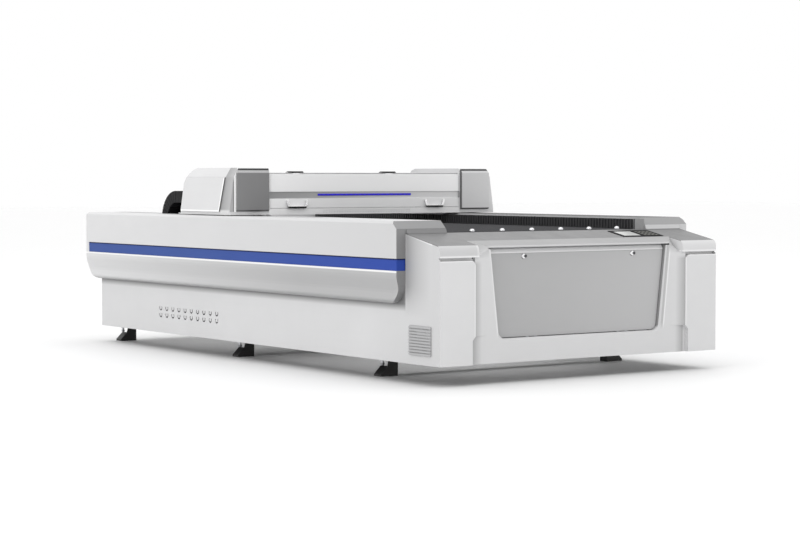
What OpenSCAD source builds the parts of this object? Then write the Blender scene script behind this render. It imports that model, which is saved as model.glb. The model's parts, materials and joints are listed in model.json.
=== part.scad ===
// Flatbed carbon dioxide laser cutting machine, a 1300 by 2500 mm bed.
// X runs across the machine, Y from the front towards the back, Z up from the floor.

/* [Overall] */
// Width over the two side panels
body_w = 2000; // [1700:10:2400]
// Length from the front pillars to the rear panel
body_l = 3900; // [3300:10:4700]
// Height of the feet below the panels
foot_h = 110; // [90:1:140]
// Height of the bed above the lower edge of the panels
bed_rise = 708; // [600:1:850]
// Thickness of the sheet-metal panels
sheet_t = 3; // [2:0.5:5]

/* [Side covers] */
// Width of a side cover
cover_w = 331; // [280:1:380]
// How far a side cover stands out past the side panel
cover_over = 60; // [40:1:80]
// Height of a side cover
cover_h = 450; // [380:1:520]
// Length of a cover past the rear panel
cover_back = 110; // [60:1:140]
// Radius of the lower corners of a cover
cover_r = 115; // [80:1:130]
// Height of the blue stripe
stripe_h = 66; // [50:1:80]
// Depth of the stripe's channel
stripe_deep = 5; // [3:0.5:8]

/* [Bed] */
// Width of the rail channel beside the bed
channel_w = 67; // [60:1:90]
// Thickness of the slotted side racks
rack_t = 12; // [10:1:16]
// Height of the side racks above the bed
rack_h = 56; // [40:1:70]
// Spacing of the slots in a rack
slot_pitch = 26; // [20:1:40]
// Spacing of the knife blades
blade_pitch = 50; // [30:1:80]
// Thickness of a knife blade
blade_t = 3; // [2:0.5:4]
// Diameter of a transfer ball
ball_d = 32; // [25:1:40]
// Spacing of the transfer balls
ball_pitch = 212; // [160:1:230]

/* [Front] */
// Depth of the front towers, up to the side covers
tower_d = 317; // [280:1:380]
// Width of a front pillar
pillar_w = 237; // [200:1:280]
// Depth of the front panel behind the pillars
fascia_in = 25; // [15:1:40]
// Depth of the door's face behind the front panel
reveal_d = 28; // [25:1:50]
// Width of the door opening at its top
door_top_w = 1272; // [1100:1:1320]
// Width of the door opening at its bottom
door_low_w = 1164; // [1000:1:1200]
// Height of the door opening's lower edge above the panels' lower edge
door_sill = 132; // [100:1:180]
// Height of the door
door_h = 488; // [400:1:490]
// Diameter of a door lock's face
lock_d = 30; // [22:1:34]

/* [Gantry] */
// Distance from the machine's front to the gantry's front at rest
gantry_at = 2150; // [2000:10:2250]
// Depth of a gantry end box
box_d = 610; // [540:1:640]
// Height of a gantry end box
box_h = 291; // [250:1:330]
// Width of a gantry end box
box_w = 282; // [272:1:300]
// Depth of the beam housing
beam_d = 520; // [480:1:540]
// How much lower the beam housing is than the end boxes
beam_drop = 29; // [10:1:40]
// Gap between the gantry and what it passes over
gantry_gap = 5; // [4:1:12]
// Outer radius of the cable chain's bend
chain_r = 187; // [160:1:200]
// Height of the cable chain
chain_h = 76; // [60:1:80]
// Diameter of the laser tube
tube_d = 80; // [50:1:90]

/* [Feet] */
// Width of a foot where it stands
foot_w = 118; // [100:1:130]
// Depth of a foot
foot_d = 67; // [50:1:90]
// Distance from the front to the first foot
foot_first = 704; // [600:1:900]

/* [Hidden] */

$fn = 48;
play = 0.3;              // gap between curved faces of pieces that move apart
fit = 0.05;              // radial clearance of a shaft in its bearing
half_w = body_w / 2;
overall_l = body_l + cover_back;

// heights above the floor
base_z = foot_h;
bed_z = base_z + bed_rise;
cover_z = bed_z + rack_h + 7;
gantry_z = cover_z + gantry_gap;
top_z = gantry_z + box_h;
beam_z = top_z - beam_drop;

// widths from the centre line
cover_x = half_w + cover_over;
cover_in = cover_x - cover_w;
rack_x = cover_in - channel_w;
bed_half = rack_x - rack_t;

// frame tubes
tube_w = 80;
rail_beam_z = bed_z - 98;
rail_beam_x = cover_in + 6 - tube_w;
frame_front = 120;
bay_ys = [for (k = [0:2]) foot_first + foot_d / 2 + k * (body_l - 6 - foot_first - foot_d) / 2];

// the bed's length
bed_front = tower_d + 45;
bed_back = body_l - 120;

// side cover
cover_low = cover_z - cover_h;
stripe_z = cover_z - 203 - stripe_h;
bevel_in = 18;

// deck plane: rises from its front edge to the bed
deck_back_z = bed_z - 4;
deck_slope = 0.203;
function deck_z(y) = deck_back_z - (tower_d - y) * deck_slope;
nose_y = 120;
nose_front = fascia_in + 5;
deck_t = sheet_t;
nose_z = bed_z - 80;

// gantry
side_lean = 30;
box_out = half_w + 20;
box_in = box_out - box_w;
gantry_back = gantry_at + box_d;

module from_front() translate([0, -overall_l / 2, 0]) children();
module on_right() mirror([1, 0, 0]) children();
module both_sides() {
    children();
    on_right() children();
}

// An outline of Y and Z points, extruded along X from x0
module across(x0, w) translate([x0, 0, 0]) rotate([90, 0, 90]) linear_extrude(height = w) children();

// An outline of X and Z points, extruded along Y from y0
module along(y0, d) translate([0, y0 + d, 0]) rotate([90, 0, 0]) linear_extrude(height = d) children();

// A box from its lowest to its highest corner
module block(low, high) translate(low) cube(high - low);

// A rectangular tube along X, Y or Z
module tube_x(x, y, z, wall = 4) difference() {
    block([x[0], y[0], z[0]], [x[1], y[1], z[1]]);
    block([x[0] - 1, y[0] + wall, z[0] + wall], [x[1] + 1, y[1] - wall, z[1] - wall]);
}
module tube_y(x, y, z, wall = 4) difference() {
    block([x[0], y[0], z[0]], [x[1], y[1], z[1]]);
    block([x[0] + wall, y[0] - 1, z[0] + wall], [x[1] - wall, y[1] + 1, z[1] - wall]);
}
module tube_z(x, y, z, wall = 4) difference() {
    block([x[0], y[0], z[0]], [x[1], y[1], z[1]]);
    block([x[0] + wall, y[0] + wall, z[0] - 1], [x[1] - wall, y[1] - wall, z[1] + 1]);
}

// ---- welded frame ----

rail_x0 = half_w - 225;          // inner face of a base rail
rail_x1 = rail_x0 + 100;
beam_low = rail_beam_z - tube_w;

module base_rails() color("dimgray") from_front() both_sides()
    tube_y([-rail_x1, -rail_x0], [frame_front, body_l - 10], [base_z, base_z + tube_w]);

// Tubes between the rails, and short ones out to the side panels
module cross_members() color("dimgray") from_front() for (y = concat([frame_front + 60], bay_ys)) {
    tube_x([-rail_x0, rail_x0], [y - 44, y + 36], [base_z, base_z + tube_w]);
    both_sides() tube_x([-half_w + sheet_t, -rail_x1], [y - 44, y + 36], [base_z, base_z + tube_w]);
}

module posts() color("dimgray") from_front() both_sides()
    for (y = concat([frame_front + 60], bay_ys))
        tube_z([-rail_beam_x - tube_w, -rail_beam_x], [y - 44, y + 36], [base_z + tube_w, beam_low]);

module rail_beams() color("dimgray") from_front() both_sides()
    tube_y([-rail_beam_x - tube_w, -rail_beam_x], [frame_front, body_l - 10], [beam_low, rail_beam_z]);

table_low = rail_beam_z - 60;
// The blades stand at an even pitch; every support plate stands under one
function blade_y(k) = bed_front - 6 + k * blade_pitch;
function nearest_blade(y) = blade_y(round((y - blade_y(0)) / blade_pitch)) + blade_t / 2;
module table_beams() color("dimgray") from_front()
    for (k = [0:6]) let (y = nearest_blade(bed_front + 30 + k * (bed_back - bed_front - 60) / 6)) {
        tube_x([-rail_beam_x, rail_beam_x], [y - 25, y + 25], [table_low, rail_beam_z]);
        block([-bed_half + 17, y - 6, rail_beam_z], [bed_half - 17, y + 6, bed_z - 40]);
    }

// ---- feet ----

foot_out = half_w - 105;         // outer edge of a foot's sole
foot_in = foot_out - foot_w;
foot_wall = 6;
sole_rise = 12;
foot_knee = 58;                  // the outer flange ends here, the front plate goes on up

// Outline of a foot: sole, sloping outer plate and upright inner edge
module foot_outline(w) polygon([
    [-foot_out + w, w], [-foot_in - w, w], [-foot_in - w, foot_h - w],
    [-foot_out + 62 + w * 0.4, foot_h - w], [-foot_out + 47 + w * 0.4, foot_knee], [-foot_out + w, sole_rise]
]);

module foot(y) difference() {
    along(y - foot_d / 2, foot_d) foot_outline(0);
    along(y - foot_d / 2 + foot_wall, foot_d) foot_outline(foot_wall);
    block([-foot_out, y - foot_d / 2 + foot_wall, foot_knee],
          [-foot_out + 68, y + foot_d / 2 + 1, foot_h - foot_wall]);
}
module feet() color("black") from_front() both_sides() for (y = bay_ys) foot(y);

bolt_x = foot_out - 34;
module levelling_bolt(y) {
    translate([-bolt_x, y, 74]) cylinder(d = 16, h = foot_h - 74);
    translate([-bolt_x, y, foot_h - 22]) cylinder(d = 30, h = 22, $fn = 6);
    translate([-bolt_x, y, 60]) cylinder(d1 = 18, d2 = 26, h = 14, $fn = 24);
}
module levelling_bolts() color("silver") from_front() both_sides() for (y = bay_ys) levelling_bolt(y);

// ---- side panels ----

vent_pitch = 80;
vent_y = 2347;
vent_slot = [38, 8];

// Side elevation: low along the side, high over the front tower
module side_outline() polygon([
    [sheet_t, base_z], [body_l, base_z], [body_l, cover_low + cover_r + 20],
    [tower_d, cover_low + cover_r + 20], [tower_d, deck_back_z - deck_t],
    [cap_back, deck_z(cap_back) - deck_t],
    [cap_back, cap_low], [sheet_t, cap_low]
]);

// One pressed vent: a tongue inside a U-shaped slit
module vent(y, z) across(-half_w - 1, sheet_t + 2) translate([y, z]) difference() {
    circle(d = vent_slot[0], $fn = 40);
    circle(d = vent_slot[0] - 2 * vent_slot[1], $fn = 32);
    translate([-vent_slot[0], vent_slot[0] * 0.22]) square([2 * vent_slot[0], vent_slot[0]]);
}

grille_y = [77, 278];
grille_z = [base_z + 50, base_z + 212];

module side_panel() difference() {
    across(-half_w, sheet_t) side_outline();
    for (k = [0:9]) for (row = [0:1]) vent(vent_y + k * vent_pitch, base_z + 118 + row * 44);
    block([-half_w - 1, grille_y[0] + 10, grille_z[0] + 4],
          [-half_w + sheet_t + 1, grille_y[1] - 10, grille_z[1] - 10]);
}
module side_panel_left() color("whitesmoke") from_front() side_panel();
module side_panel_right() color("whitesmoke") from_front() on_right() side_panel();

// Louvred grille on the tower's side: pressed louvres, each with a slit below it
grille_n = 10;
grille_r = 9;
module grille_plate() {
    translate([grille_y[0] + grille_r, grille_z[0]])
        square([grille_y[1] - grille_y[0] - 2 * grille_r, grille_z[1] - grille_z[0]]);
    translate([grille_y[0], grille_z[0] + grille_r])
        square([grille_y[1] - grille_y[0], grille_z[1] - grille_z[0] - 2 * grille_r]);
    for (y = [grille_y[0] + grille_r, grille_y[1] - grille_r])
        for (z = [grille_z[0] + grille_r, grille_z[1] - grille_r])
        translate([y, z]) circle(r = grille_r, $fn = 32);
}
module grille() let (pitch = (grille_z[1] - grille_z[0]) / grille_n) difference() {
    intersection() {
        across(-half_w - 12, 12) grille_plate();
        along(grille_y[0] - 1, grille_y[1] - grille_y[0] + 2) polygon(concat(
            [[-half_w, grille_z[1] + 1], [-half_w, grille_z[0] - 1]],
            [for (k = [0:grille_n - 1]) for (p = [[2, 0], [8, 1], [9, 4], [8, 8], [5, 12]])
                [-half_w - p[0], grille_z[0] + k * pitch + p[1] * pitch / 16]]
        ));
    }
    for (k = [0:grille_n - 1]) block([-half_w - 2.6, grille_y[0] + 12, grille_z[0] + k * pitch - 0.8],
                                     [-half_w + 1, grille_y[1] - 12, grille_z[0] + k * pitch + 1.6]);
}
module side_grilles() color("gainsboro") from_front() both_sides() grille();

rear_side_z = cover_low + cover_r + 20;
module rear_panel() color("whitesmoke") from_front() along(body_l - sheet_t, sheet_t) difference() {
    polygon([
        [-half_w + sheet_t, base_z], [half_w - sheet_t, base_z], [half_w - sheet_t, rear_side_z],
        [cover_in - 2, rear_side_z], [cover_in - 2, cover_z - 12], [-cover_in + 2, cover_z - 12],
        [-cover_in + 2, rear_side_z], [-half_w + sheet_t, rear_side_z]
    ]);
    for (x = [-400, 400]) translate([x, base_z + 330]) circle(d = 120);
}

// Hood over the cross shaft at the rear end of the bed
hood_y = bed_back + 10;
module rear_hood() color("whitesmoke") from_front() difference() {
    across(-cover_in + 2, 2 * cover_in - 4) difference() {
        polygon([[hood_y, bed_z - 60], [hood_y, cover_z - 30], [hood_y + 18, cover_z - 12],
                 [body_l - sheet_t, cover_z - 12], [body_l - sheet_t, bed_z - 60]]);
        polygon([[hood_y + sheet_t, bed_z - 61], [hood_y + sheet_t, cover_z - 31.5],
                 [hood_y + 19.5, cover_z - 15],
                 [body_l - 2 * sheet_t, cover_z - 15], [body_l - 2 * sheet_t, bed_z - 61]]);
    }
    both_sides() block([-belt_x - belt_w - 6, hood_y - 1, bed_z - 61],
                       [-belt_x + 6, hood_y + 12, pulley_z + pulley_r + belt_t + 2]);
}

// ---- front ----

fascia_top = nose_z - 8;
cap_low = nose_z - 57;
door_low_z = base_z + door_sill;
door_top_z = door_low_z + door_h;

// Door outline with an even gap around it; the lower corners are round
module door_outline(gap, r, top = door_top_z) {
    t = door_top_w / 2 - gap;
    b = door_low_w / 2 - gap;
    hull() {
        for (s = [-1, 1]) translate([s * (b - r), door_low_z + gap + r]) circle(r = r, $fn = 32);
        polygon([[-t, top], [0, door_low_z + 100], [t, top]]);
    }
}

cove_w = 105;                    // a shallow cove between a pillar and the plate
cove_deep = 19;
cove_r = (pow(cove_w, 2) + pow(cove_deep, 2)) / (2 * cove_deep);
lip = 10;                        // bevel round the door's opening
cap_r = 52;
cap_w = 262;
groove = 17;                     // dark recess between a pillar and its cap
pillar_top = cap_low - 9;
pillar_r = 30;
jog = [19, 140];

// Full-width front plate with the door's reveal and a cove against each pillar
nose_w = 1314;                   // width of the nose at its front edge
cheek_low = pillar_top + groove;
module front_plate() color("white") from_front() difference() {
    union() {
        along(fascia_in, sheet_t) polygon([
            [-half_w + sheet_t, base_z], [half_w - sheet_t, base_z], [half_w - sheet_t, cap_low],
            [half_w - pillar_w, cap_low], [half_w - pillar_w, cheek_low], [half_w - cap_w, cheek_low],
            [nose_w / 2, fascia_top], [-nose_w / 2, fascia_top], [-half_w + cap_w, cheek_low],
            [-half_w + pillar_w, cheek_low], [-half_w + pillar_w, cap_low], [-half_w + sheet_t, cap_low]
        ]);
        along(fascia_in, reveal_d + 24) door_outline(-sheet_t, 45);
        hull() {
            along(fascia_in + 1, 1) door_outline(-lip - sheet_t - 1, 50, door_top_z - 1);
            along(fascia_in + lip + sheet_t, 1) door_outline(-1, 43, door_top_z - 1);
        }
        block([-door_top_w / 2 - 2, fascia_in + reveal_d + 22, door_top_z - 60],
              [door_top_w / 2 + 2, fascia_in + reveal_d + 25, nose_z + 6]);
        both_sides() difference() {
            block([-half_w + pillar_w, fascia_in - cove_deep, base_z + jog[1] + 14],
                  [-half_w + pillar_w + cove_w, fascia_in + 1, cheek_low]);
            translate([-half_w + pillar_w + cove_w, fascia_in - cove_r, base_z - 1])
                cylinder(r = cove_r + 0.3, h = 700, $fn = 360);
        }
        both_sides() cheek();
    }
    along(fascia_in - 1, reveal_d + 23) door_outline(0, 42, fascia_top + 1);
    along(fascia_in + reveal_d + 21, 10) difference() {
        door_outline(0, 42);
        translate([-half_w, door_top_z - 60]) square([body_w, 100]);
    }
    hull() {
        along(fascia_in - 3, 1) door_outline(-lip - 2, 50, fascia_top + 1);
        along(fascia_in + lip + 2, 1) door_outline(3, 39, fascia_top + 1);
    }
}

// Hollow that leads from the front plate's slanting shoulder up to the end of the nose
cheek_n = 8;
function cheek_foot(t) = [nose_w / 2 + t * (half_w - cap_w - nose_w / 2), fascia_in,
                          fascia_top - t * (fascia_top - cheek_low)];
function cheek_head(t) = [cheek_foot(t)[0], nose_front + t * (nose_y - nose_front),
                          nose_z + 8 + t * (deck_z(nose_y) - nose_z - 8)];
function cheek_at(t, u) = cheek_foot(t) + u * (cheek_head(t) - cheek_foot(t))
                          + 4 * u * (1 - u) * t * [0, 9, -9];
module cheek() let (m = cheek_n + 1, row = 2 * m) mirror([1, 0, 0]) polyhedron(
    points = [for (i = [0:cheek_n]) each concat(
        [for (k = [0:cheek_n]) cheek_at(i / cheek_n, k / cheek_n)],
        [for (k = [0:cheek_n]) cheek_at(i / cheek_n, k / cheek_n) + [0, 2.2 * (1 - k / cheek_n), -2.4]]
    )],
    faces = [for (f = concat(
        [for (i = [0:cheek_n - 1]) for (k = [0:cheek_n - 1]) each let (a = i * row + k) [
            [a, a + row, a + row + 1], [a, a + row + 1, a + 1],
            [a + m, a + m + row + 1, a + m + row], [a + m, a + m + 1, a + m + row + 1]
        ]],
        [for (i = [0:cheek_n - 1]) each let (a = i * row, b = a + cheek_n) [
            [a, a + m, a + m + row], [a, a + m + row, a + row],
            [b, b + row, b + m + row], [b, b + m + row, b + m]
        ]],
        [for (k = [0:cheek_n - 1]) each let (c = cheek_n * row + k) [
            [k, k + 1, k + m + 1], [k, k + m + 1, k + m],
            [c, c + m, c + m + 1], [c, c + m + 1, c + 1]
        ]]
    )) [f[2], f[1], f[0]]]
);

// Front face of a pillar: round upper inner corner, stepped in at its foot
module pillar_outline(w) difference() {
    polygon([
        [-half_w + w, base_z + w], [-half_w + pillar_w - jog[0] - w, base_z + w],
        [-half_w + pillar_w - jog[0] - w, base_z + jog[1] - 8],
        [-half_w + pillar_w - w, base_z + jog[1] + 14],
        [-half_w + pillar_w - w, pillar_top - w], [-half_w + w, pillar_top - w]
    ]);
    difference() {
        translate([-half_w + pillar_w - w - pillar_r, pillar_top - w - pillar_r]) square(pillar_r + 1);
        translate([-half_w + pillar_w - w - pillar_r, pillar_top - w - pillar_r])
            circle(r = pillar_r, $fn = 64);
    }
}
module front_pillars() color("white") from_front() both_sides() difference() {
    along(0, fascia_in) pillar_outline(0);
    along(sheet_t, fascia_in) pillar_outline(sheet_t);
    block([-half_w - 1, sheet_t, base_z - 1], [-half_w + sheet_t, fascia_in + 1, pillar_top + 1]);
}

// Shoulder cap: a bull-nosed hood over a pillar, level with the deck behind it
cap_edge = 18;                   // where the cap's round front meets the deck
cap_back = 70;
module cap_outline(w) {
    z0 = pillar_top + groove + w;
    zc = deck_z(cap_edge) - sqrt(pow(cap_r, 2) - pow(cap_r - cap_edge, 2));
    intersection() {
        polygon([[w, z0], [w, deck_z(cap_edge) + 9], [cap_edge, deck_z(cap_edge) - w],
                 [cap_edge + 0.01, deck_z(cap_edge) - deck_t - w], [cap_back, deck_z(cap_back) - deck_t - w],
                 [cap_back, z0]]);
        union() {
            translate([cap_r, zc]) circle(r = cap_r - w, $fn = 96);
            translate([0, z0 - 1]) square([cap_r, zc - z0 + 1]);
            translate([cap_r - 1, z0 - 1]) square([cap_back, 100]);
        }
    }
}
module shoulder_caps() color("white") from_front() both_sides() {
    difference() {
        across(-half_w, cap_w) cap_outline(0);
        across(-half_w + sheet_t, cap_w - 2 * sheet_t) cap_outline(sheet_t);
        block([-half_w + sheet_t, cap_back - 1, cap_low + 20],
              [-half_w + cap_w - sheet_t, cap_back + 1, bed_z]);
    }
    block([-half_w + sheet_t, fascia_in, cap_low],
          [-half_w + cap_w - 30, fascia_in + sheet_t, pillar_top + groove]);
    block([-half_w, 12, cap_low], [-half_w + sheet_t, cap_back, pillar_top + groove]);
    across(-half_w + cap_w - sheet_t, sheet_t) polygon([
        [cap_back - 1, pillar_top + groove], [nose_y + 4, pillar_top + groove],
        [nose_y + 4, deck_z(nose_y + 4) - deck_t], [cap_back - 1, deck_z(cap_back - 1) - deck_t]
    ]);
}

// Sloping deck with its steeper nose and the upstand against the side covers
panel_x = [405, 710];
panel_y = [135, 278];
module deck_slab(x0, w, y0) across(x0, w) polygon([
    [y0, deck_z(y0) - deck_t], [tower_d, deck_back_z - deck_t], [tower_d, deck_back_z], [y0, deck_z(y0)]
]);
module deck() color("darkgray") from_front() difference() {
    union() {
        deck_slab(-half_w, body_w, nose_y);
        both_sides() deck_slab(-half_w, cap_w, cap_edge);
        across(-half_w + cap_w, body_w - 2 * cap_w) difference() {
            polygon([[nose_front, nose_z], [nose_front, nose_z + 8], [nose_y, deck_z(nose_y)],
                     [nose_y + 20, deck_z(nose_y + 20)], [nose_y + 20, nose_z]]);
            polygon([[nose_front + deck_t, nose_z - 1], [nose_front + deck_t, nose_z + 6],
                     [nose_y, deck_z(nose_y) - deck_t - 0.5], [nose_y + 21, deck_z(nose_y + 21) - deck_t],
                     [nose_y + 21, nose_z - 1]]);
        }
        both_sides() across(-half_w + 5, half_w - 5 - cover_in) polygon([
            [tower_d - 14, deck_z(tower_d - 14) - 1], [tower_d, deck_back_z - 1],
            [tower_d, deck_back_z + 22], [tower_d - 3, deck_back_z + 22]
        ]);
    }
    block([panel_x[0] + 4, panel_y[0] + 4, bed_z - 100], [panel_x[1] - 4, panel_y[1] - 4, bed_z + 20]);
    both_sides() translate([0, 0, nose_z - 20]) linear_extrude(height = 70) polygon([
        [-half_w + cap_w - 0.01, nose_y], [-nose_w / 2, nose_front], [-nose_w / 2, nose_front - 5],
        [-half_w + cap_w - 0.01, nose_front - 5]
    ]);
}

// Lies in the deck's plane: X across, Y up the slope from the panel's front edge
module on_deck() translate([0, panel_y[0], deck_z(panel_y[0])]) rotate([atan(deck_slope), 0, 0]) children();
panel_run = (panel_y[1] - panel_y[0]) / cos(atan(deck_slope));

module panel_bezel() color("black") from_front() on_deck() difference() {
    block([panel_x[0], 0, 0], [panel_x[1], panel_run, 3]);
    block([panel_x[0] + 22, 18, -1], [panel_x[0] + 152, panel_run - 20, 4]);
    block([panel_x[0] + 170, 12, -1], [panel_x[1] - 12, panel_run - 12, 4]);
}
module panel_screen() color("lightgray") from_front() on_deck()
    block([panel_x[0] + 22, 18, -4], [panel_x[0] + 152, panel_run - 20, 2]);
module panel_keypad() color("dimgray") from_front() on_deck() {
    block([panel_x[0] + 170, 12, -4], [panel_x[1] - 12, panel_run - 12, 2]);
    for (i = [0:3]) for (j = [0:3])
        block([panel_x[0] + 178 + i * 29, 20 + j * 28, 2], [panel_x[0] + 198 + i * 29, 38 + j * 28, 3.5]);
}

// ---- front door ----

door_face = fascia_in + reveal_d;
door_t = 12;
door_gap = 4;
hinge_z = door_low_z + 9;
hinge_y = door_face + 8;
hinge_xs = [-330, 330];
lock_x = 395;
lock_z = door_top_z - 43;

module front_door() color("lightgray") from_front() difference() {
    union() {
        difference() {
            along(door_face, door_t) intersection() {
                door_outline(door_gap, 39);
                translate([-half_w, 0]) square([body_w, door_top_z - 20]);
            }
            along(door_face + sheet_t, door_t) difference() {
                door_outline(door_gap + 22, 20);
                translate([-half_w, door_top_z - 30]) square([body_w, 40]);
            }
            for (x = hinge_xs)
                block([x - 42, door_face + sheet_t, door_low_z],
                      [x + 42, door_face + door_t + 1, hinge_z + 8]);
        }
        across(-door_top_w / 2 + door_gap + 3, door_top_w - 2 * door_gap - 6)
            polygon([[door_face, door_top_z - 20.01], [door_face + 10, door_top_z - 1],
                     [door_face + door_t, door_top_z - 1], [door_face + door_t, door_top_z - 20.01]]);
        for (x = hinge_xs) {
            translate([x - 20, hinge_y, hinge_z]) rotate([0, 90, 0]) cylinder(d = 8, h = 40);
            block([x - 20, hinge_y - 1.5, hinge_z], [x + 20, hinge_y + 1.5, hinge_z + 9]);
        }
    }
    for (s = [-1, 1]) translate([s * lock_x, 0, lock_z]) rotate([-90, 0, 0]) cylinder(d = 18.6, h = 200);
    for (x = hinge_xs) translate([x - 21, hinge_y, hinge_z]) rotate([0, 90, 0])
        cylinder(d = 4 + 2 * fit, h = 42);
}

// Fixed half of each door hinge: two knuckles with the pin, standing on the reveal
module door_hinges() color("silver") from_front() for (x = hinge_xs) {
    translate([x - 40, hinge_y, hinge_z]) rotate([0, 90, 0]) {
        cylinder(d = 8, h = 19.7);
        translate([0, 0, 60.3]) cylinder(d = 8, h = 19.7);
        cylinder(d = 4, h = 80);
    }
    for (dx = [-40, 20.3]) block([x + dx, hinge_y - 1, door_low_z], [x + dx + 19.7, hinge_y + 3, hinge_z]);
}

// Quarter-turn lock: round face, barrel through the door and a cam behind it
module door_lock(x) translate([x, 0, lock_z]) rotate([-90, 0, 0]) {
    translate([0, 0, door_face - 4]) difference() {
        cylinder(d1 = lock_d - 4, d2 = lock_d, h = 4 - play);
        translate([-9, -1.5, -1]) cube([18, 3, 2.5]);
    }
    translate([0, 0, door_face - play - 0.01]) cylinder(d = 18, h = door_t + 2 * play + 1);
    translate([-9, -9, door_face + door_t + play]) cube([48, 18, 3]);
}
module lock_left() color("silver") from_front() door_lock(-lock_x);
module lock_right() color("silver") from_front() door_lock(lock_x);

// ---- side covers ----

end_lean = 48;                   // how far the top of a cover's front end slopes back
lean_h = 42;

// End elevation of a cover at the left, w inside its outer face
module cover_section(w) polygon(concat(
    [[-cover_x + w, cover_z - 14], [-cover_x + 14 + w * 0.4, cover_z - w],
     [-cover_in - w, cover_z - w], [-cover_in - w, cover_low + w],
     [-half_w + 25, cover_low + w], [-half_w - 12, cover_low + w]],
    [for (a = [75:-15:15]) [-cover_x + bevel_in + 34 - (34 - w) * cos(a),
                            cover_low + 34 - (34 - w) * sin(a)]],
    [for (k = [0:6]) let (u = k / 6) [-cover_x + w + bevel_in * (1 - u * u * (3 - 2 * u)),
                                      cover_low + 60 + u * (stripe_z - 28 - cover_low - 60)]]
));

// Side elevation of a cover, w inside its ends: sloping front top, round lower corners
module cover_side(w) {
    y0 = tower_d + w;
    y1 = overall_l - w;
    r = cover_r - w;
    difference() {
        polygon([[y0, cover_low - 1], [y1, cover_low - 1], [y1, cover_z - 20], [y1 - 16, cover_z + 1],
                 [y0 + end_lean, cover_z + 1], [y0 + end_lean, cover_z], [y0, cover_z - lean_h]]);
        difference() {
            translate([y0 - 1, cover_low - 2]) square([r + 1, r + 2 + w]);
            translate([y0 + r, cover_low + r + w]) circle(r = r, $fn = 96);
        }
        difference() {
            translate([y1 - r, cover_low - 2]) square([r + 1, r + 2 + w]);
            translate([y1 - r, cover_low + r + w]) circle(r = r, $fn = 96);
        }
    }
}

stripe_y0 = tower_d;
stripe_y1 = overall_l - 38;
// The channel for the stripe, round the outer side and the front end
module stripe_channel(grow) {
    block([-cover_x - 1, stripe_y0 - 1, stripe_z - grow],
          [-cover_x + stripe_deep, stripe_y1 + grow, stripe_z + stripe_h + grow]);
    block([-cover_x - 1, stripe_y0 - 1, stripe_z - grow],
          [-half_w, stripe_y0 + stripe_deep, stripe_z + stripe_h + grow]);
}

cover_wall = 4;
slot_x = [half_w - 204, half_w - 116];   // slot for the cable chain
slot_y = [gantry_at - 780, overall_l - 50];

// Cover as a shell: open towards the inside of the machine, with a channel for the stripe
module cover_shell() difference() {
    union() {
        difference() {
            intersection() {
                along(tower_d, overall_l - tower_d) cover_section(0);
                across(-cover_x - 1, cover_w + 2) cover_side(0);
            }
            intersection() {
                along(tower_d - 1, overall_l) cover_section(cover_wall);
                across(-cover_x - 1, cover_w + 2) cover_side(cover_wall);
            }
        }
        block([-cover_x + stripe_deep, stripe_y0 + stripe_deep, stripe_z - 8],
              [-cover_x + stripe_deep + 3, stripe_y1 + 8, stripe_z + stripe_h + 8]);
        block([-cover_x + stripe_deep, stripe_y0 + stripe_deep, stripe_z - 8],
              [-half_w, stripe_y0 + stripe_deep + 3, stripe_z + stripe_h + 8]);
    }
    block([-half_w, tower_d - 1, cover_low - 1], [-cover_in - cover_wall, body_l, cover_low + 60]);
    block([-half_w, tower_d - 1, cover_low - 1], [-cover_in + 1, body_l, rail_beam_z]);
    block([-half_w, tower_d - 1, cover_low - 1], [-cover_in + 1, tower_d + 6, deck_back_z]);
    stripe_channel(0);
}

// The strip between the chain's slot and the bed
module slot_strip(x) block([-x, slot_y[0], cover_low - 1], [-cover_in + 1, slot_y[1], cover_z + 1]);

module cover_left() color("whitesmoke") from_front() difference() {
    cover_shell();
    slot_strip(slot_x[1]);
}
module cover_left_inner() color("whitesmoke") from_front() intersection() {
    cover_shell();
    slot_strip(slot_x[0]);
}
module cover_right() color("whitesmoke") from_front() on_right() cover_shell();

module side_stripes() color("royalblue") from_front() both_sides() {
    block([-cover_x + 3.5, stripe_y0 + 3.5, stripe_z],
          [-cover_x + stripe_deep, stripe_y1, stripe_z + stripe_h]);
    block([-cover_x + 3.5, stripe_y0 + 3.5, stripe_z],
          [-half_w, stripe_y0 + stripe_deep, stripe_z + stripe_h]);
}

// ---- bed ----

// Slotted rack, seen from above: a row of narrow ribs towards the bed
module rack_outline(y0) {
    w = slot_pitch * 0.42;
    n = floor((bed_back - y0 - 10) / slot_pitch);
    polygon(concat(
        [[-rack_x, y0], [-bed_half - rack_t / 2, y0]],
        [for (k = [0:n - 1]) for (p = [[0, 0], [rack_t / 2, 0], [rack_t / 2, w], [0, w]])
            [-bed_half - rack_t / 2 + p[0], y0 + 4 + k * slot_pitch + p[1]]],
        [[-bed_half - rack_t / 2, bed_back], [-rack_x, bed_back]]
    ));
}
module rack(y0) {
    translate([0, 0, bed_z + 1]) linear_extrude(height = rack_h - 1) rack_outline(y0);
    block([-rack_x, y0, rail_beam_z], [-bed_half - rack_t / 2, bed_back, bed_z + 1]);
}
module side_racks() color("black") from_front() {
    rack(tower_d + 165);
    on_right() rack(tower_d + 28);
}

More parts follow.
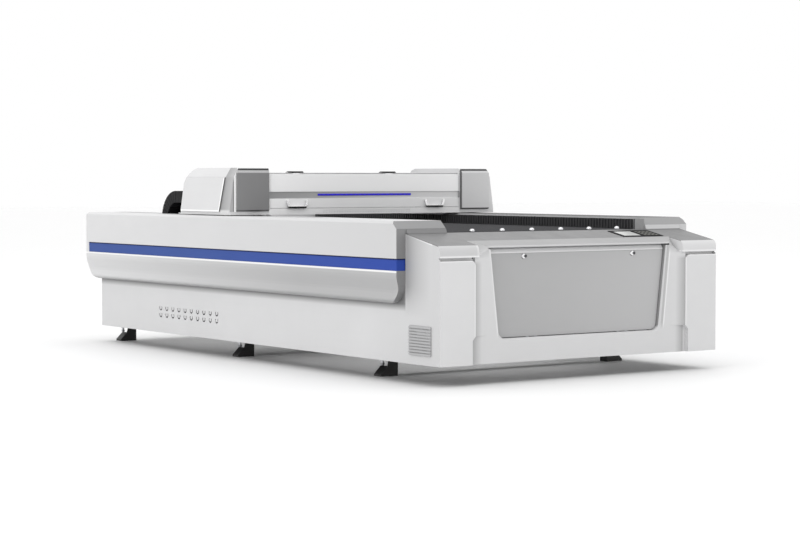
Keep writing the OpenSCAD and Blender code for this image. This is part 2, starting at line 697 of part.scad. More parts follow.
blade_low = bed_z - 40;
module blade_table() color("dimgray") from_front() {
    n = floor((bed_back - bed_front - 20) / blade_pitch);
    for (s = [-1, 1]) translate([s * (bed_half - 8), (bed_front + bed_back) / 2, blade_low - 8])
        cube([14, bed_back - bed_front, 40], center = true);
    for (y = [bed_front, bed_back - 4])
        block([-bed_half + 1, y, blade_low - 28], [bed_half - 1, y + 4, bed_z - 2]);
    for (k = [1:n]) across(-bed_half + 1, 2 * bed_half - 2) let (y = blade_y(k))
        polygon([[y, blade_low], [y + blade_t, blade_low], [y + blade_t, bed_z - 5],
                 [y + blade_t / 2, bed_z], [y, bed_z - 5]]);
}

// Front bar of the bed with six ball transfer units for loading sheets
ball_y = tower_d + 22;
ball_r = ball_d / 2;
ball_z = bed_z;
ball_xs = [for (k = [0:5]) (k - 2.5) * ball_pitch];
module ball_rail() color("dimgray") from_front() difference() {
    union() {
    block([-bed_half, tower_d + 1, rail_beam_z], [bed_half, bed_front - 0.5, bed_z - 6]);
    block([-cover_in + 4.5, tower_d + 1, rail_beam_z], [-bed_half + 1, tower_d + 11, bed_z - 6]);
    block([bed_half - 1, tower_d + 1, rail_beam_z], [cover_in - 4.5, tower_d + 11, cover_z - 6]);
    }
    block([-bed_half + 4, tower_d + 5, rail_beam_z - 1], [bed_half - 4, bed_front - 4.5, bed_z - 10]);
    for (x = ball_xs) translate([x, ball_y, bed_z - 40]) cylinder(r = ball_r + 3, h = 60);
}
module ball_units() color("silver") from_front() for (x = ball_xs) translate([x, ball_y, 0]) {
    translate([0, 0, ball_z]) sphere(r = ball_r, $fn = 48);
    difference() {
        translate([0, 0, ball_z - ball_r - 8]) cylinder(r = ball_r + 3, h = ball_r + 2.5);
        translate([0, 0, ball_z]) sphere(r = ball_r + play, $fn = 48);
    }
}

// ---- drive along Y ----

gauge_x = cover_in - 27;          // centre line of a guide rail
rail_h = 20;
block_top = rail_beam_z + 37;
pulley_r = 25;
belt_t = 3;
belt_w = 12;
belt_x = rack_x + 5;              // inner edge of a belt
pulley_z = bed_z - 42;
idler_y = tower_d + 45;
shaft_y = bed_back + 50;

module guide_rails() color("silver") from_front() both_sides() difference() {
    block([-gauge_x - 10, idler_y + 14, rail_beam_z], [-gauge_x + 10, bed_back, rail_beam_z + rail_h]);
    for (s = [-1, 1]) translate([-gauge_x + s * 11.5, (tower_d + bed_back) / 2, rail_beam_z + 11])
        rotate([90, 0, 0]) cylinder(d = 7, h = bed_back, center = true, $fn = 24);
}

// Belt loop round the front idler and the rear drive pulley
module drive_belts() color("black") from_front() both_sides()
    across(-belt_x - belt_w, belt_w) difference() {
        union() {
            translate([idler_y, pulley_z - pulley_r - belt_t])
                square([shaft_y - idler_y, 2 * (pulley_r + belt_t)]);
            for (y = [idler_y, shaft_y]) translate([y, pulley_z]) circle(r = pulley_r + belt_t, $fn = 96);
        }
        translate([idler_y, pulley_z - pulley_r - fit]) square([shaft_y - idler_y, 2 * (pulley_r + fit)]);
        for (y = [idler_y, shaft_y]) translate([y, pulley_z]) circle(r = pulley_r + fit, $fn = 96);
    }

module drive_shaft() color("silver") from_front() translate([0, shaft_y, pulley_z]) rotate([0, 90, 0]) {
    translate([0, 0, -belt_x - belt_w - 4]) cylinder(d = 25, h = 2 * (belt_x + belt_w + 4));
    for (s = [-1, 1]) translate([0, 0, s * (belt_x + belt_w / 2) - belt_w / 2])
        cylinder(r = pulley_r, h = belt_w, $fn = 96);
}

bearing_xs = [bed_half - 40, 200];
module idler(s) color("silver") from_front() translate([s * (belt_x + belt_w / 2), idler_y, pulley_z])
    rotate([0, 90, 0]) difference() {
        cylinder(r = pulley_r, h = belt_w, center = true, $fn = 96);
        cylinder(d = 12 + 2 * fit, h = belt_w + 1, center = true);
    }
module idler_left() idler(-1);
module idler_right() idler(1);

// Bearings of the cross shaft at the back, and the idlers' brackets at the front
module bearing_blocks() color("gray") from_front() {
    for (s = [-1, 1]) for (x = bearing_xs) difference() {
        union() {
            translate([s * x, shaft_y, pulley_z]) rotate([0, 90, 0]) cylinder(d = 60, h = 30, center = true);
            block([s * x - 15, shaft_y - 30, rail_beam_z - 70], [s * x + 15, shaft_y + 30, pulley_z]);
        }
        translate([s * x, shaft_y, pulley_z]) rotate([0, 90, 0])
            cylinder(d = 25 + 2 * fit, h = 40, center = true);
    }
    both_sides() {
        block([-belt_x - belt_w - 7, idler_y - 12, rail_beam_z],
              [-belt_x - belt_w - 1, idler_y + 12, pulley_z + 12]);
        translate([-belt_x - belt_w - 7, idler_y, pulley_z]) rotate([0, 90, 0])
            cylinder(d = 12, h = belt_w + 10);
    }
    tube_x([-rail_beam_x, rail_beam_x], [shaft_y - 35, shaft_y + 35], [rail_beam_z - 130, rail_beam_z - 70]);
}

// Geared motor round the middle of the cross shaft
module y_motor() color("dimgray") from_front() difference() {
    union() {
        block([-60, shaft_y - 28, pulley_z - 34], [60, shaft_y + 28, pulley_z + 26]);
        block([-45, shaft_y - 28, rail_beam_z - 70], [45, shaft_y + 28, pulley_z - 33]);
    }
    translate([0, shaft_y, pulley_z]) rotate([0, 90, 0]) cylinder(d = 25 + 2 * fit, h = 140, center = true);
}

// Power supply cabinet, standing on the last cross member and the base rail
module power_supply() color("gray") from_front() difference() {
    block([rail_x0 - 420, bay_ys[2] - 420, base_z + tube_w],
          [rail_x0 + 40, bay_ys[2] - 50, base_z + tube_w + 260]);
    for (k = [0:5]) block([rail_x0 - 421, bay_ys[2] - 360 + k * 45, base_z + tube_w + 60],
                          [rail_x0 - 405, bay_ys[2] - 345 + k * 45, base_z + tube_w + 200]);
}

// ---- gantry ----

leg_y = [gantry_at + 110, gantry_at + beam_d - 10];
module gantry_legs() color("gray") from_front() both_sides() {
    block([-gauge_x - 8, leg_y[0], block_top], [-gauge_x + 6, leg_y[1], beam_tube_z[0]]);
    block([-gauge_x - 20, leg_y[0], block_top], [-gauge_x + 20, leg_y[1], block_top + 6]);
    difference() {
        block([-gauge_x + 6, leg_y[1] - 60, pulley_z + pulley_r - 6],
              [-belt_x + 2, leg_y[1], pulley_z + pulley_r + 12]);
        block([-belt_x - belt_w - play, leg_y[1] - 61, pulley_z + pulley_r - play],
              [-belt_x + 3, leg_y[1] + 1, pulley_z + pulley_r + belt_t + play]);
    }
}

// Linear bearing blocks, two on each rail
module rail_blocks() color("silver") from_front() both_sides()
    for (y = [leg_y[0] + 50, leg_y[1] - 50]) difference() {
    block([-gauge_x - 22, y - 42, rail_beam_z + 4], [-gauge_x + 22, y + 42, block_top]);
    block([-gauge_x - 10 - play, y - 43, rail_beam_z - 1],
          [-gauge_x + 10 + play, y + 43, rail_beam_z + rail_h + play]);
    for (s = [-1, 1]) translate([-gauge_x + s * 11.5, y, rail_beam_z + 11])
        rotate([90, 0, 0]) cylinder(d = 4, h = 90, center = true, $fn = 24);
}

beam_y = [gantry_at + beam_d - 220, gantry_at + beam_d - 120];
beam_tube_z = [gantry_z + 60, gantry_z + 200];
module gantry_beam() color("lightgray") from_front() {
    tube_x([-gauge_x - 8, gauge_x + 8], beam_y, beam_tube_z, 8);
    for (x = [-600:300:600])
        block([x - 20, beam_y[0] + 20, beam_tube_z[1]], [x + 20, beam_y[1] - 20, beam_z - sheet_t]);
}

// Beam housing: a long sheet-metal box, open below for the laser head and in front for the door
skirt_h = 38;
door_z0 = gantry_z + skirt_h;
beam_x = box_in;
head_slot = [gantry_at + 110, beam_y[0] - 10];
module beam_housing() color("white") from_front() difference() {
    across(-beam_x, 2 * beam_x) polygon([
        [gantry_at, gantry_z], [gantry_at + beam_d, gantry_z], [gantry_at + beam_d, beam_z - 60],
        [gantry_at + beam_d - 50, beam_z], [gantry_at, beam_z]
    ]);
    across(-beam_x - 1, 2 * beam_x + 2) polygon([
        [gantry_at + sheet_t, gantry_z + sheet_t], [gantry_at + beam_d - sheet_t, gantry_z + sheet_t],
        [gantry_at + beam_d - sheet_t, beam_z - 61], [gantry_at + beam_d - 51, beam_z - sheet_t],
        [gantry_at + sheet_t, beam_z - sheet_t]
    ]);
    block([-beam_x + 8, gantry_at - 1, door_z0], [beam_x - 8, gantry_at + sheet_t + 1, beam_z + 1]);
    block([-beam_x + 8, gantry_at - 1, door_z0 + 30], [beam_x - 8, gantry_at + 14, beam_z + 1]);
    block([-beam_x + 20, head_slot[0], gantry_z - 1], [beam_x - 20, head_slot[1], gantry_z + sheet_t + 1]);
    both_sides() block([-gauge_x - 23, leg_y[0] - 5, gantry_z - 1],
                       [-gauge_x + 9, leg_y[1] + 5, gantry_z + sheet_t + 1]);
    for (k = [0:33]) for (row = [0:1])
        translate([-330 + k * 20, gantry_at - 1, gantry_z + 13 + row * 12]) rotate([-90, 0, 0])
            cylinder(d = 6, h = 6, $fn = 16);
}

// Front elevation of an end box at the left, w inside its outer faces
module box_section(w) polygon([
    [-box_out + w, gantry_z + w], [-box_in - w, gantry_z + w], [-box_in - w, top_z - w],
    [-box_out + 62, top_z - w], [-box_out + side_lean + w, top_z - 56], [-box_out + w, gantry_z + 24]
]);

// Side elevation of an end box, w inside its ends
module box_side(w) polygon([
    [gantry_at + w, gantry_z - 1], [gantry_back - w, gantry_z - 1], [gantry_back - w, gantry_z + 186],
    [gantry_back - 36 - w, top_z - 38], [gantry_back - 66 - w, top_z - 12],
    [gantry_back - 110 - w, top_z + 1],
    [gantry_at + 14 + w, top_z + 1], [gantry_at + w, top_z - 12]
]);

module end_box(slot) difference() {
    intersection() {
        along(gantry_at, box_d) box_section(0);
        across(-box_out - 1, box_w + 2) box_side(0);
    }
    intersection() {
        along(gantry_at, box_d) box_section(sheet_t);
        across(-box_out - 1, box_w + 2) box_side(sheet_t);
    }
    block([-box_out + 60, gantry_at + 60, gantry_z - 1], [-box_in + 1, gantry_back - 60, beam_z - 40]);
    if (slot) block([-slot_x[1] + 8, gantry_back - 30, chain_z + chain_r - chain_h + 3],
                    [-slot_x[0] - 8, gantry_back + 1, chain_z + chain_r - 3]);
}

// Raised plate on the outer side of an end box
plate_t = 8;
module side_plate() difference() {
    intersection() {
        along(gantry_at, box_d) difference() {
            translate([-plate_t, 0]) box_section(0);
            box_section(0);
        }
        across(-box_out - plate_t - 1, 100) polygon([
            [gantry_at + 118, gantry_z + 20], [gantry_back - 12, gantry_z + 20],
            [gantry_back - 12, gantry_z + 196], [gantry_back - 34, gantry_z + 232],
            [gantry_at + 96, gantry_z + 232]
        ]);
    }
}
module end_box_left() color("white") from_front() {
    end_box(true);
    side_plate();
}
module end_box_right() color("white") from_front() on_right() {
    end_box(false);
    side_plate();
}

// Grey front cover of an end box, bevelled round its edge
front_t = 14;
module box_front() intersection() {
    z0 = gantry_z + 22;
    z1 = top_z - 4;
    across(-box_out + 47, box_w - 52) polygon([
        [gantry_at - front_t, z0 + 8], [gantry_at - front_t + 8, z0], [gantry_at - play, z0],
        [gantry_at - play, z1], [gantry_at - 4, z1], [gantry_at - front_t, z1 - 26]
    ]);
    along(gantry_at - front_t, front_t) box_section(4);
}
module box_front_left() color("gray") from_front() box_front();
module box_front_right() color("silver") from_front() on_right() box_front();

// Lifting front door of the beam, hinged along its top edge, with a sunk band
band_z = [gantry_z + 100, gantry_z + 142];
beam_door_t = 12;
beam_door_x = beam_x - 10;
beam_hinge_xs = [-534, 173];
beam_pin = [gantry_at + 9, beam_z + 4];
module beam_door() color("white") from_front() difference() {
    union() {
        across(-beam_door_x, 2 * beam_door_x) polygon([
            [gantry_at, door_z0 + 2], [gantry_at + beam_door_t, door_z0 + 2],
            [gantry_at + beam_door_t, beam_z - 6], [gantry_at, beam_z - 6]
        ]);
        for (x = beam_hinge_xs) {
            translate([x - 25, beam_pin[0], beam_pin[1]]) rotate([0, 90, 0]) cylinder(d = 9, h = 50);
            block([x - 25, beam_pin[0] - 4.5, beam_z - 7], [x + 25, gantry_at + beam_door_t, beam_pin[1]]);
        }
    }
    block([-beam_door_x + 12, gantry_at + sheet_t, door_z0 + 14],
          [beam_door_x - 12, gantry_at + beam_door_t + 1, band_z[0] - 3]);
    block([-beam_door_x + 12, gantry_at + sheet_t, band_z[1] + 3],
          [beam_door_x - 12, gantry_at + beam_door_t + 1, beam_z - 18]);
    block([-beam_door_x - 1, gantry_at - 1, band_z[0]], [beam_door_x + 1, gantry_at + 4, band_z[1]]);
    for (x = beam_hinge_xs) translate([x - 26, beam_pin[0], beam_pin[1]]) rotate([0, 90, 0])
        cylinder(d = 5 + 2 * fit, h = 52);
}

// Fixed halves of the beam door's hinges, wedges with sloping ends, with their pins
module beam_hinges() color("black") from_front() for (x = beam_hinge_xs) {
    intersection() {
        for (dx = [-56, 25.3]) {
            translate([x + dx, beam_pin[0], beam_pin[1]]) rotate([0, 90, 0]) cylinder(d = 9, h = 30.7);
            across(x + dx, 30.7) polygon([
                [beam_pin[0], beam_z], [gantry_at + 44, beam_z], [gantry_at + 44, beam_z + 2],
                [gantry_at + 30, beam_z + 8], [beam_pin[0], beam_pin[1] + 4.5]
            ]);
        }
        along(gantry_at, 60) polygon([
            [x - 56, beam_z - 1], [x + 56, beam_z - 1], [x + 49, beam_z + 10], [x - 49, beam_z + 10]
        ]);
    }
    translate([x - 50, beam_pin[0], beam_pin[1]]) rotate([0, 90, 0]) cylinder(d = 5, h = 100);
}

module light_strip() color("blue") from_front()
    block([-375, gantry_at + 1, gantry_z + 118], [345, gantry_at + 4, gantry_z + 128]);

// Bow handles that hang at the foot of the beam door
handle_xs = [-535, 528];
handle_w = 155;
handle_z = [gantry_z + 46, gantry_z + 84];
handle_t = 12;
module bow_handle(x) translate([x, 0, 0]) let (h = handle_w / 2, low = handle_z[0], top = handle_z[1]) {
    along(gantry_at - 14, 10) difference() {
        polygon([[-h, top + 6], [h, top + 6], [h, top - 10], [h - 10, low], [h - 17, low - 6],
                 [17 - h, low - 6], [10 - h, low], [-h, top - 10]]);
        polygon([[handle_t - h, top + 7], [h - handle_t, top + 7], [h - handle_t, top - 6],
                 [h - 21, low + 6], [21 - h, low + 6], [handle_t - h, top - 6]]);
    }
    for (s = [-1, 1]) translate([s * (h - 6), gantry_at - 4, top]) rotate([-90, 0, 0])
        cylinder(d = 11, h = 4);
}
module door_handles() color("silver") from_front() for (x = handle_xs) bow_handle(x);

// Cable chain: a row of links that leaves the end box, bends down and enters the cover's slot
chain_z = gantry_z - 43;
chain_y = gantry_back + 320;
chain_x = [slot_x[0] + 4, slot_x[1] - 4];
link_n = 8;
straight_n = 8;
straight_pitch = (chain_y - gantry_back) / straight_n;
module chain_link() difference() {
    across(-chain_x[1], chain_x[1] - chain_x[0]) children();
    across(-chain_x[1] + 6, chain_x[1] - chain_x[0] - 12) children();
}
module link_sector(k) intersection() {
    difference() {
        circle(r = chain_r, $fn = 96);
        circle(r = chain_r - chain_h, $fn = 96);
    }
    polygon([[0, 0], [300 * cos(k * 90 / link_n + 0.6), 300 * sin(k * 90 / link_n + 0.6)],
             [300 * cos((k + 1) * 90 / link_n - 0.6), 300 * sin((k + 1) * 90 / link_n - 0.6)]]);
}
module cable_chain() color("black") from_front() {
    across(-chain_x[1], chain_x[1] - chain_x[0]) translate([chain_y, chain_z])
        for (k = [0:link_n - 1]) link_sector(k);
    across(-chain_x[1] + 6, chain_x[1] - chain_x[0] - 12) difference() {
        union() {
            translate([chain_y, chain_z]) intersection() {
                circle(r = chain_r - 4, $fn = 96);
                square(chain_r);
            }
            translate([gantry_back - 60, chain_z + chain_r - chain_h + 4])
                square([chain_y - gantry_back + 60, chain_h - 8]);
            translate([chain_y + chain_r - chain_h + 4, chain_z - 40]) square([chain_h - 8, 40]);
        }
        translate([chain_y, chain_z]) circle(r = chain_r - chain_h + 4, $fn = 96);
        translate([chain_y - 1, chain_z - 60]) square([chain_r - chain_h - 30, 60]);
    }
    for (k = [0:straight_n - 1]) let (y = gantry_back + k * straight_pitch)
        block([-chain_x[1], y, chain_z + chain_r - chain_h],
              [-chain_x[0], y + straight_pitch - 2, chain_z + chain_r]);
    across(-chain_x[0] - 3, 3) {
        intersection() {
            translate([chain_y, chain_z]) circle(r = chain_r - chain_h + 1, $fn = 96);
            translate([chain_y - 1, gantry_z]) square(chain_r);
        }
        translate([gantry_back, gantry_z])
            square([chain_y - gantry_back, chain_z + chain_r - chain_h + 1 - gantry_z]);
    }
}

// Glass laser tube on two clamps behind the beam
tube_y0 = gantry_at + beam_d - 65;
tube_z0 = gantry_z + 120;
tube_l = 1150;
module laser_tube() color("lightcyan") from_front() {
    translate([-tube_l / 2, tube_y0, tube_z0]) rotate([0, 90, 0]) cylinder(d = tube_d, h = tube_l);
    for (s = [-1, 1]) translate([s * (tube_l / 2 + 15), tube_y0, tube_z0]) rotate([0, 90, 0])
        cylinder(d = tube_d * 0.5, h = 30, center = true);
    for (s = [-1, 1])
        block([s * 450 - 15, beam_y[1], tube_z0 - 12],
              [s * 450 + 15, tube_y0 - tube_d / 2 + 3, tube_z0 + 12]);
}

// Mirrors in their mounts: beside the tube's end, and at the beam's end in line with the head
module mirror_mount(x, y) difference() {
    block([x - 20, y - 20, tube_z0 - 30], [x + 20, y + 20, tube_z0 + 30]);
    translate([x - 26, y - 26, tube_z0 - 20]) rotate([0, 0, 45]) translate([-14, 0, 0]) cube([28, 30, 40]);
}
module mirrors() color("gray") from_front() {
    mirror_mount(-tube_l / 2 - 52, tube_y0);
    block([-tube_l / 2 - 72, tube_y0 - 10, gantry_z + sheet_t],
          [-tube_l / 2 - 32, tube_y0 + 20, tube_z0 - 30]);
}

// Belt drive of the carriage along the beam: motor, belt and two pulleys
x_belt_y = beam_y[0] - 9;
x_belt_z = beam_tube_z[0] - 20;
x_pulley_r = 15;
x_pulley_at = 650;
module x_motor() color("dimgray") from_front() {
    block([-x_pulley_at - 28, beam_y[0] + 10, x_belt_z - 28],
          [-x_pulley_at + 28, beam_y[0] + 90, x_belt_z + 20]);
    translate([-x_pulley_at, x_belt_y - 8, x_belt_z]) rotate([-90, 0, 0]) cylinder(d = 10, h = 30);
    block([x_pulley_at - 15, beam_y[0] + 10, x_belt_z - 12],
          [x_pulley_at + 15, beam_y[0] + 60, x_belt_z + 20]);
    translate([x_pulley_at, x_belt_y - 8, x_belt_z]) rotate([-90, 0, 0]) cylinder(d = 10, h = 30);
}
module x_belt() color("black") from_front() translate([0, x_belt_y - 6, 0]) rotate([90, 0, 0])
    translate([0, x_belt_z, -12]) linear_extrude(height = 12) difference() {
        union() {
            square([2 * x_pulley_at, 2 * (x_pulley_r + 2)], center = true);
            for (s = [-1, 1]) translate([s * x_pulley_at, 0]) circle(r = x_pulley_r + 2, $fn = 64);
        }
        square([2 * x_pulley_at, 2 * (x_pulley_r + fit)], center = true);
        for (s = [-1, 1]) translate([s * x_pulley_at, 0]) circle(r = x_pulley_r + fit, $fn = 64);
    }
module x_wheel(s) color("silver") from_front()
    translate([s * x_pulley_at, x_belt_y - 6, x_belt_z]) rotate([-90, 0, 0])
    difference() {
        cylinder(r = x_pulley_r, h = 12, $fn = 64);
        translate([0, 0, -1]) cylinder(d = 10 + 2 * fit, h = 14);
    }
module x_pulley() x_wheel(-1);
module x_idler() x_wheel(1);

// X carriage on the front of the beam, and the laser head that slides on it
head_x = -600;
carriage_z = [beam_tube_z[0] + 10, beam_tube_z[1] - 10];
module x_carriage() color("dimgray") from_front() {
    block([head_x - 60, beam_y[0] - 34, carriage_z[0]], [head_x + 60, beam_y[0] - 22, carriage_z[1]]);
    block([head_x - 45, beam_y[0] - 22, carriage_z[0] + 20],
          [head_x + 45, beam_y[0] - play, carriage_z[1] - 20]);
    block([head_x - 15, beam_y[0] - 34, x_belt_z + x_pulley_r + 2 + play],
          [head_x + 15, beam_y[0] - 4, carriage_z[0] + 2]);
}

head_y = beam_y[0] - 70;
module laser_head() color("silver") from_front() {
    block([head_x - 25, head_y + 10, carriage_z[0] + 20],
          [head_x + 25, beam_y[0] - 34 - play, carriage_z[1] - 30]);
    translate([head_x, head_y, gantry_z + 20]) cylinder(d = 46, h = 150);
    translate([head_x, head_y, bed_z + 12]) cylinder(d1 = 8, d2 = 40, h = gantry_z + 20 - bed_z - 12);
}

base_rails();
cross_members();
posts();
rail_beams();
table_beams();
feet();
levelling_bolts();
side_panel_left();
side_panel_right();
rear_panel();
rear_hood();
front_plate();
front_pillars();
shoulder_caps();
deck();
side_grilles();
panel_bezel();
panel_screen();
panel_keypad();
front_door();
door_hinges();
lock_left();
lock_right();
cover_left();
cover_left_inner();
cover_right();
side_stripes();
side_racks();
blade_table();
ball_rail();
ball_units();
guide_rails();
drive_belts();
drive_shaft();
bearing_blocks();
idler_left();
idler_right();
y_motor();
power_supply();
gantry_legs();
rail_blocks();
gantry_beam();
beam_housing();
end_box_left();
end_box_right();
box_front_left();
box_front_right();
beam_door();
light_strip();
door_handles();
beam_hinges();
cable_chain();
laser_tube();
mirrors();
x_motor();
x_belt();
x_pulley();
x_idler();
x_carriage();
laser_head();
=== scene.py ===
import json
import math

import bpy
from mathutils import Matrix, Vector

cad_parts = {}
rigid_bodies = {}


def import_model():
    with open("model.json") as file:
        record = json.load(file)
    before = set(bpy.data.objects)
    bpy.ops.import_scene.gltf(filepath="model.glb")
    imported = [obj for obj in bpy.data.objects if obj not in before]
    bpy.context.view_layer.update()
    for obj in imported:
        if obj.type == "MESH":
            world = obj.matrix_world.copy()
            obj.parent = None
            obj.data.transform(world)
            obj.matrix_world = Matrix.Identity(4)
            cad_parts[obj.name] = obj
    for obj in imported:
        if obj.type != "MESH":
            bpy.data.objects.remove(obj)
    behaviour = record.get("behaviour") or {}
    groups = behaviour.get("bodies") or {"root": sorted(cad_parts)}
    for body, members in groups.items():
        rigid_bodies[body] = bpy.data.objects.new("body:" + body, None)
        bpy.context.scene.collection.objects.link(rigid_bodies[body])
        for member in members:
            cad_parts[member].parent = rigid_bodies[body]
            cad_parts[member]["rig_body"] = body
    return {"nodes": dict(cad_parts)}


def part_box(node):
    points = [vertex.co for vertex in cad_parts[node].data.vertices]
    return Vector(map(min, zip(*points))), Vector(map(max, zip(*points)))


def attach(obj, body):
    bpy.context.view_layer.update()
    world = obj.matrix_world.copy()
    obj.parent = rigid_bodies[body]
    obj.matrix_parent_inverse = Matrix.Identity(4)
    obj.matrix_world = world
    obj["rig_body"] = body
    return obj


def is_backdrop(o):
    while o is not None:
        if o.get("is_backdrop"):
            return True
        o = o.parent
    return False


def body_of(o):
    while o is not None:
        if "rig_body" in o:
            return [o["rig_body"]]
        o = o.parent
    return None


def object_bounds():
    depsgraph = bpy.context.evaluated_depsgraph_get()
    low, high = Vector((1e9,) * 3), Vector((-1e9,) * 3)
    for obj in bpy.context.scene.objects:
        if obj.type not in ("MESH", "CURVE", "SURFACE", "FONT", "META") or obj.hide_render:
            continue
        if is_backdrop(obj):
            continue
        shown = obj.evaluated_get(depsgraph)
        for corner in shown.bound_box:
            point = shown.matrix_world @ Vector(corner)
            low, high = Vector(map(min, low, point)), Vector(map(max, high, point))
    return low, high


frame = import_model()
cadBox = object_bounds()
nodes = frame["nodes"]


camera = {
    "place": (-7.482, -10.824, 1.114),
    "turn": (87.553, 0.0, -35.205),      # degrees
    "lens": 93.2,
}


def setCamera():
    turn = [math.radians(angle) for angle in camera["turn"]]
    bpy.ops.object.camera_add(location=camera["place"], rotation=turn)
    cam = bpy.context.object
    cam.name = "studioCamera"
    cam.data.lens = camera["lens"]
    cam.data.sensor_width = 36
    cam.data.clip_end = 200
    bpy.context.scene.camera = cam


setCamera()
print("camera set")


def newMaterial(name):
    material = bpy.data.materials.new(name)
    material.use_nodes = True
    return material, material.node_tree, material.node_tree.nodes["Principled BSDF"]


def addNode(tree, kind, settings=None, **inputs):
    node = tree.nodes.new(kind)
    for key, value in (settings or {}).items():
        setattr(node, key, value)
    for key, value in inputs.items():
        node.inputs[key].default_value = value
    return node


def setInputs(material, values):
    shader = material.node_tree.nodes["Principled BSDF"]
    for key, value in values.items():
        shader.inputs[key].default_value = value


def objectPlace(tree, scale=(1, 1, 1)):
    # the piece's own coordinates in metres, stretched by scale
    place = addNode(tree, "ShaderNodeTexCoord")
    stretch = addNode(tree, "ShaderNodeMapping", Scale=scale)
    tree.links.new(place.outputs["Object"], stretch.inputs["Vector"])
    return stretch.outputs["Vector"]


def noiseOf(tree, vector, scale, detail=3, roughness=0.5):
    noise = addNode(tree, "ShaderNodeTexNoise", Scale=scale, Detail=detail, Roughness=roughness)
    tree.links.new(vector, noise.inputs["Vector"])
    return noise.outputs["Fac"]


def rangeOf(tree, value, fromLow, fromHigh, toLow, toHigh):
    limits = {"From Min": fromLow, "From Max": fromHigh, "To Min": toLow, "To Max": toHigh}
    ramp = addNode(tree, "ShaderNodeMapRange", **limits)
    tree.links.new(value, ramp.inputs["Value"])
    return ramp.outputs["Result"]


def blendColours(tree, factor, first, second):
    mix = addNode(tree, "ShaderNodeMix", {"data_type": "RGBA"})
    tree.links.new(factor, mix.inputs["Factor"])
    for socket, colour in ((mix.inputs["A"], first), (mix.inputs["B"], second)):
        if isinstance(colour, tuple):
            socket.default_value = colour + (1,)
        else:
            tree.links.new(colour, socket)
    return mix.outputs["Result"]


def shade(colour, amount):
    return tuple(min(1.0, channel * amount) for channel in colour)


def fineBump(tree, shader, heights, radius=0.0):
    # heights: pairs of (value, distance in metres), laid over each other; radius rounds hard edges
    below = None
    if radius:
        edge = addNode(tree, "ShaderNodeBevel", {"samples": 6}, Radius=radius)
        below = edge.outputs["Normal"]
    for value, distance in heights:
        bump = addNode(tree, "ShaderNodeBump", Strength=1.0, Distance=distance)
        tree.links.new(value, bump.inputs["Height"])
        if below:
            tree.links.new(below, bump.inputs["Normal"])
        below = bump.outputs["Normal"]
    tree.links.new(below, shader.inputs["Normal"])


# Powder coat: faint orange peel, slow tone changes, dust in random smears and rubbed sheen
def powderCoat(name, colour, rough=0.38, peel=0.00006, grime=0.05, radius=0.0015, coat=0.15):
    material, tree, shader = newMaterial(name)
    place = objectPlace(tree)
    slow = noiseOf(tree, place, 2.3, 4, 0.6)
    grain = noiseOf(tree, place, 420, 2, 0.5)
    smear = noiseOf(tree, objectPlace(tree, (1, 0.25, 3)), 9, 5, 0.65)
    slowTone = rangeOf(tree, slow, 0.3, 0.7, 0, 1)
    toned = blendColours(tree, slowTone, shade(colour, 0.975), shade(colour, 1.02))
    dust = blendColours(tree, rangeOf(tree, smear, 0.5, 0.85, 0, grime), toned, shade(colour, 0.7))
    tree.links.new(dust, shader.inputs["Base Color"])
    tree.links.new(rangeOf(tree, smear, 0.25, 0.75, rough - 0.05, rough + 0.08), shader.inputs["Roughness"])
    shader.inputs["Coat Weight"].default_value = coat
    shader.inputs["Coat Roughness"].default_value = 0.25
    fineBump(tree, shader, [(grain, peel)], radius)
    return material


# Metal turned or brushed along one direction
def workedMetal(name, colour, rough, along=(1, 60, 60), depth=0.00003, radius=0.0006):
    material, tree, shader = newMaterial(name)
    streak = noiseOf(tree, objectPlace(tree, along), 14, 5, 0.7)
    slow = noiseOf(tree, objectPlace(tree), 18, 3, 0.5)
    toned = blendColours(tree, slow, shade(colour, 0.86), shade(colour, 1.06))
    tree.links.new(toned, shader.inputs["Base Color"])
    tree.links.new(rangeOf(tree, streak, 0.25, 0.75, rough - 0.07, rough + 0.1), shader.inputs["Roughness"])
    shader.inputs["Metallic"].default_value = 1.0
    fineBump(tree, shader, [(streak, depth)], radius)
    return material


# Moulded plastic or rubber with a fine sparked grain
def mouldedPlastic(name, colour, rough=0.5, grain=0.00008, grainScale=900, radius=0.0008):
    material, tree, shader = newMaterial(name)
    place = objectPlace(tree)
    spark = noiseOf(tree, place, grainScale, 2, 0.6)
    slow = noiseOf(tree, place, 12, 4, 0.6)
    toned = blendColours(tree, slow, shade(colour, 0.8), shade(colour, 1.25))
    tree.links.new(toned, shader.inputs["Base Color"])
    tree.links.new(rangeOf(tree, slow, 0.3, 0.7, rough - 0.06, rough + 0.08), shader.inputs["Roughness"])
    fineBump(tree, shader, [(spark, grain)], radius)
    return material


def ownPlace(tree, axis):
    # one axis of the piece's own coordinates, in metres
    place = addNode(tree, "ShaderNodeTexCoord")
    split = addNode(tree, "ShaderNodeSeparateXYZ")
    tree.links.new(place.outputs["Object"], split.inputs["Vector"])
    return split.outputs[axis]


def maskAlong(tree, axis, edge, soft=0.0005, above=True):
    # 1 where the piece's own coordinate is past an edge
    low, high = (0, 1) if above else (1, 0)
    return rangeOf(tree, ownPlace(tree, axis), edge - soft, edge + soft, low, high)


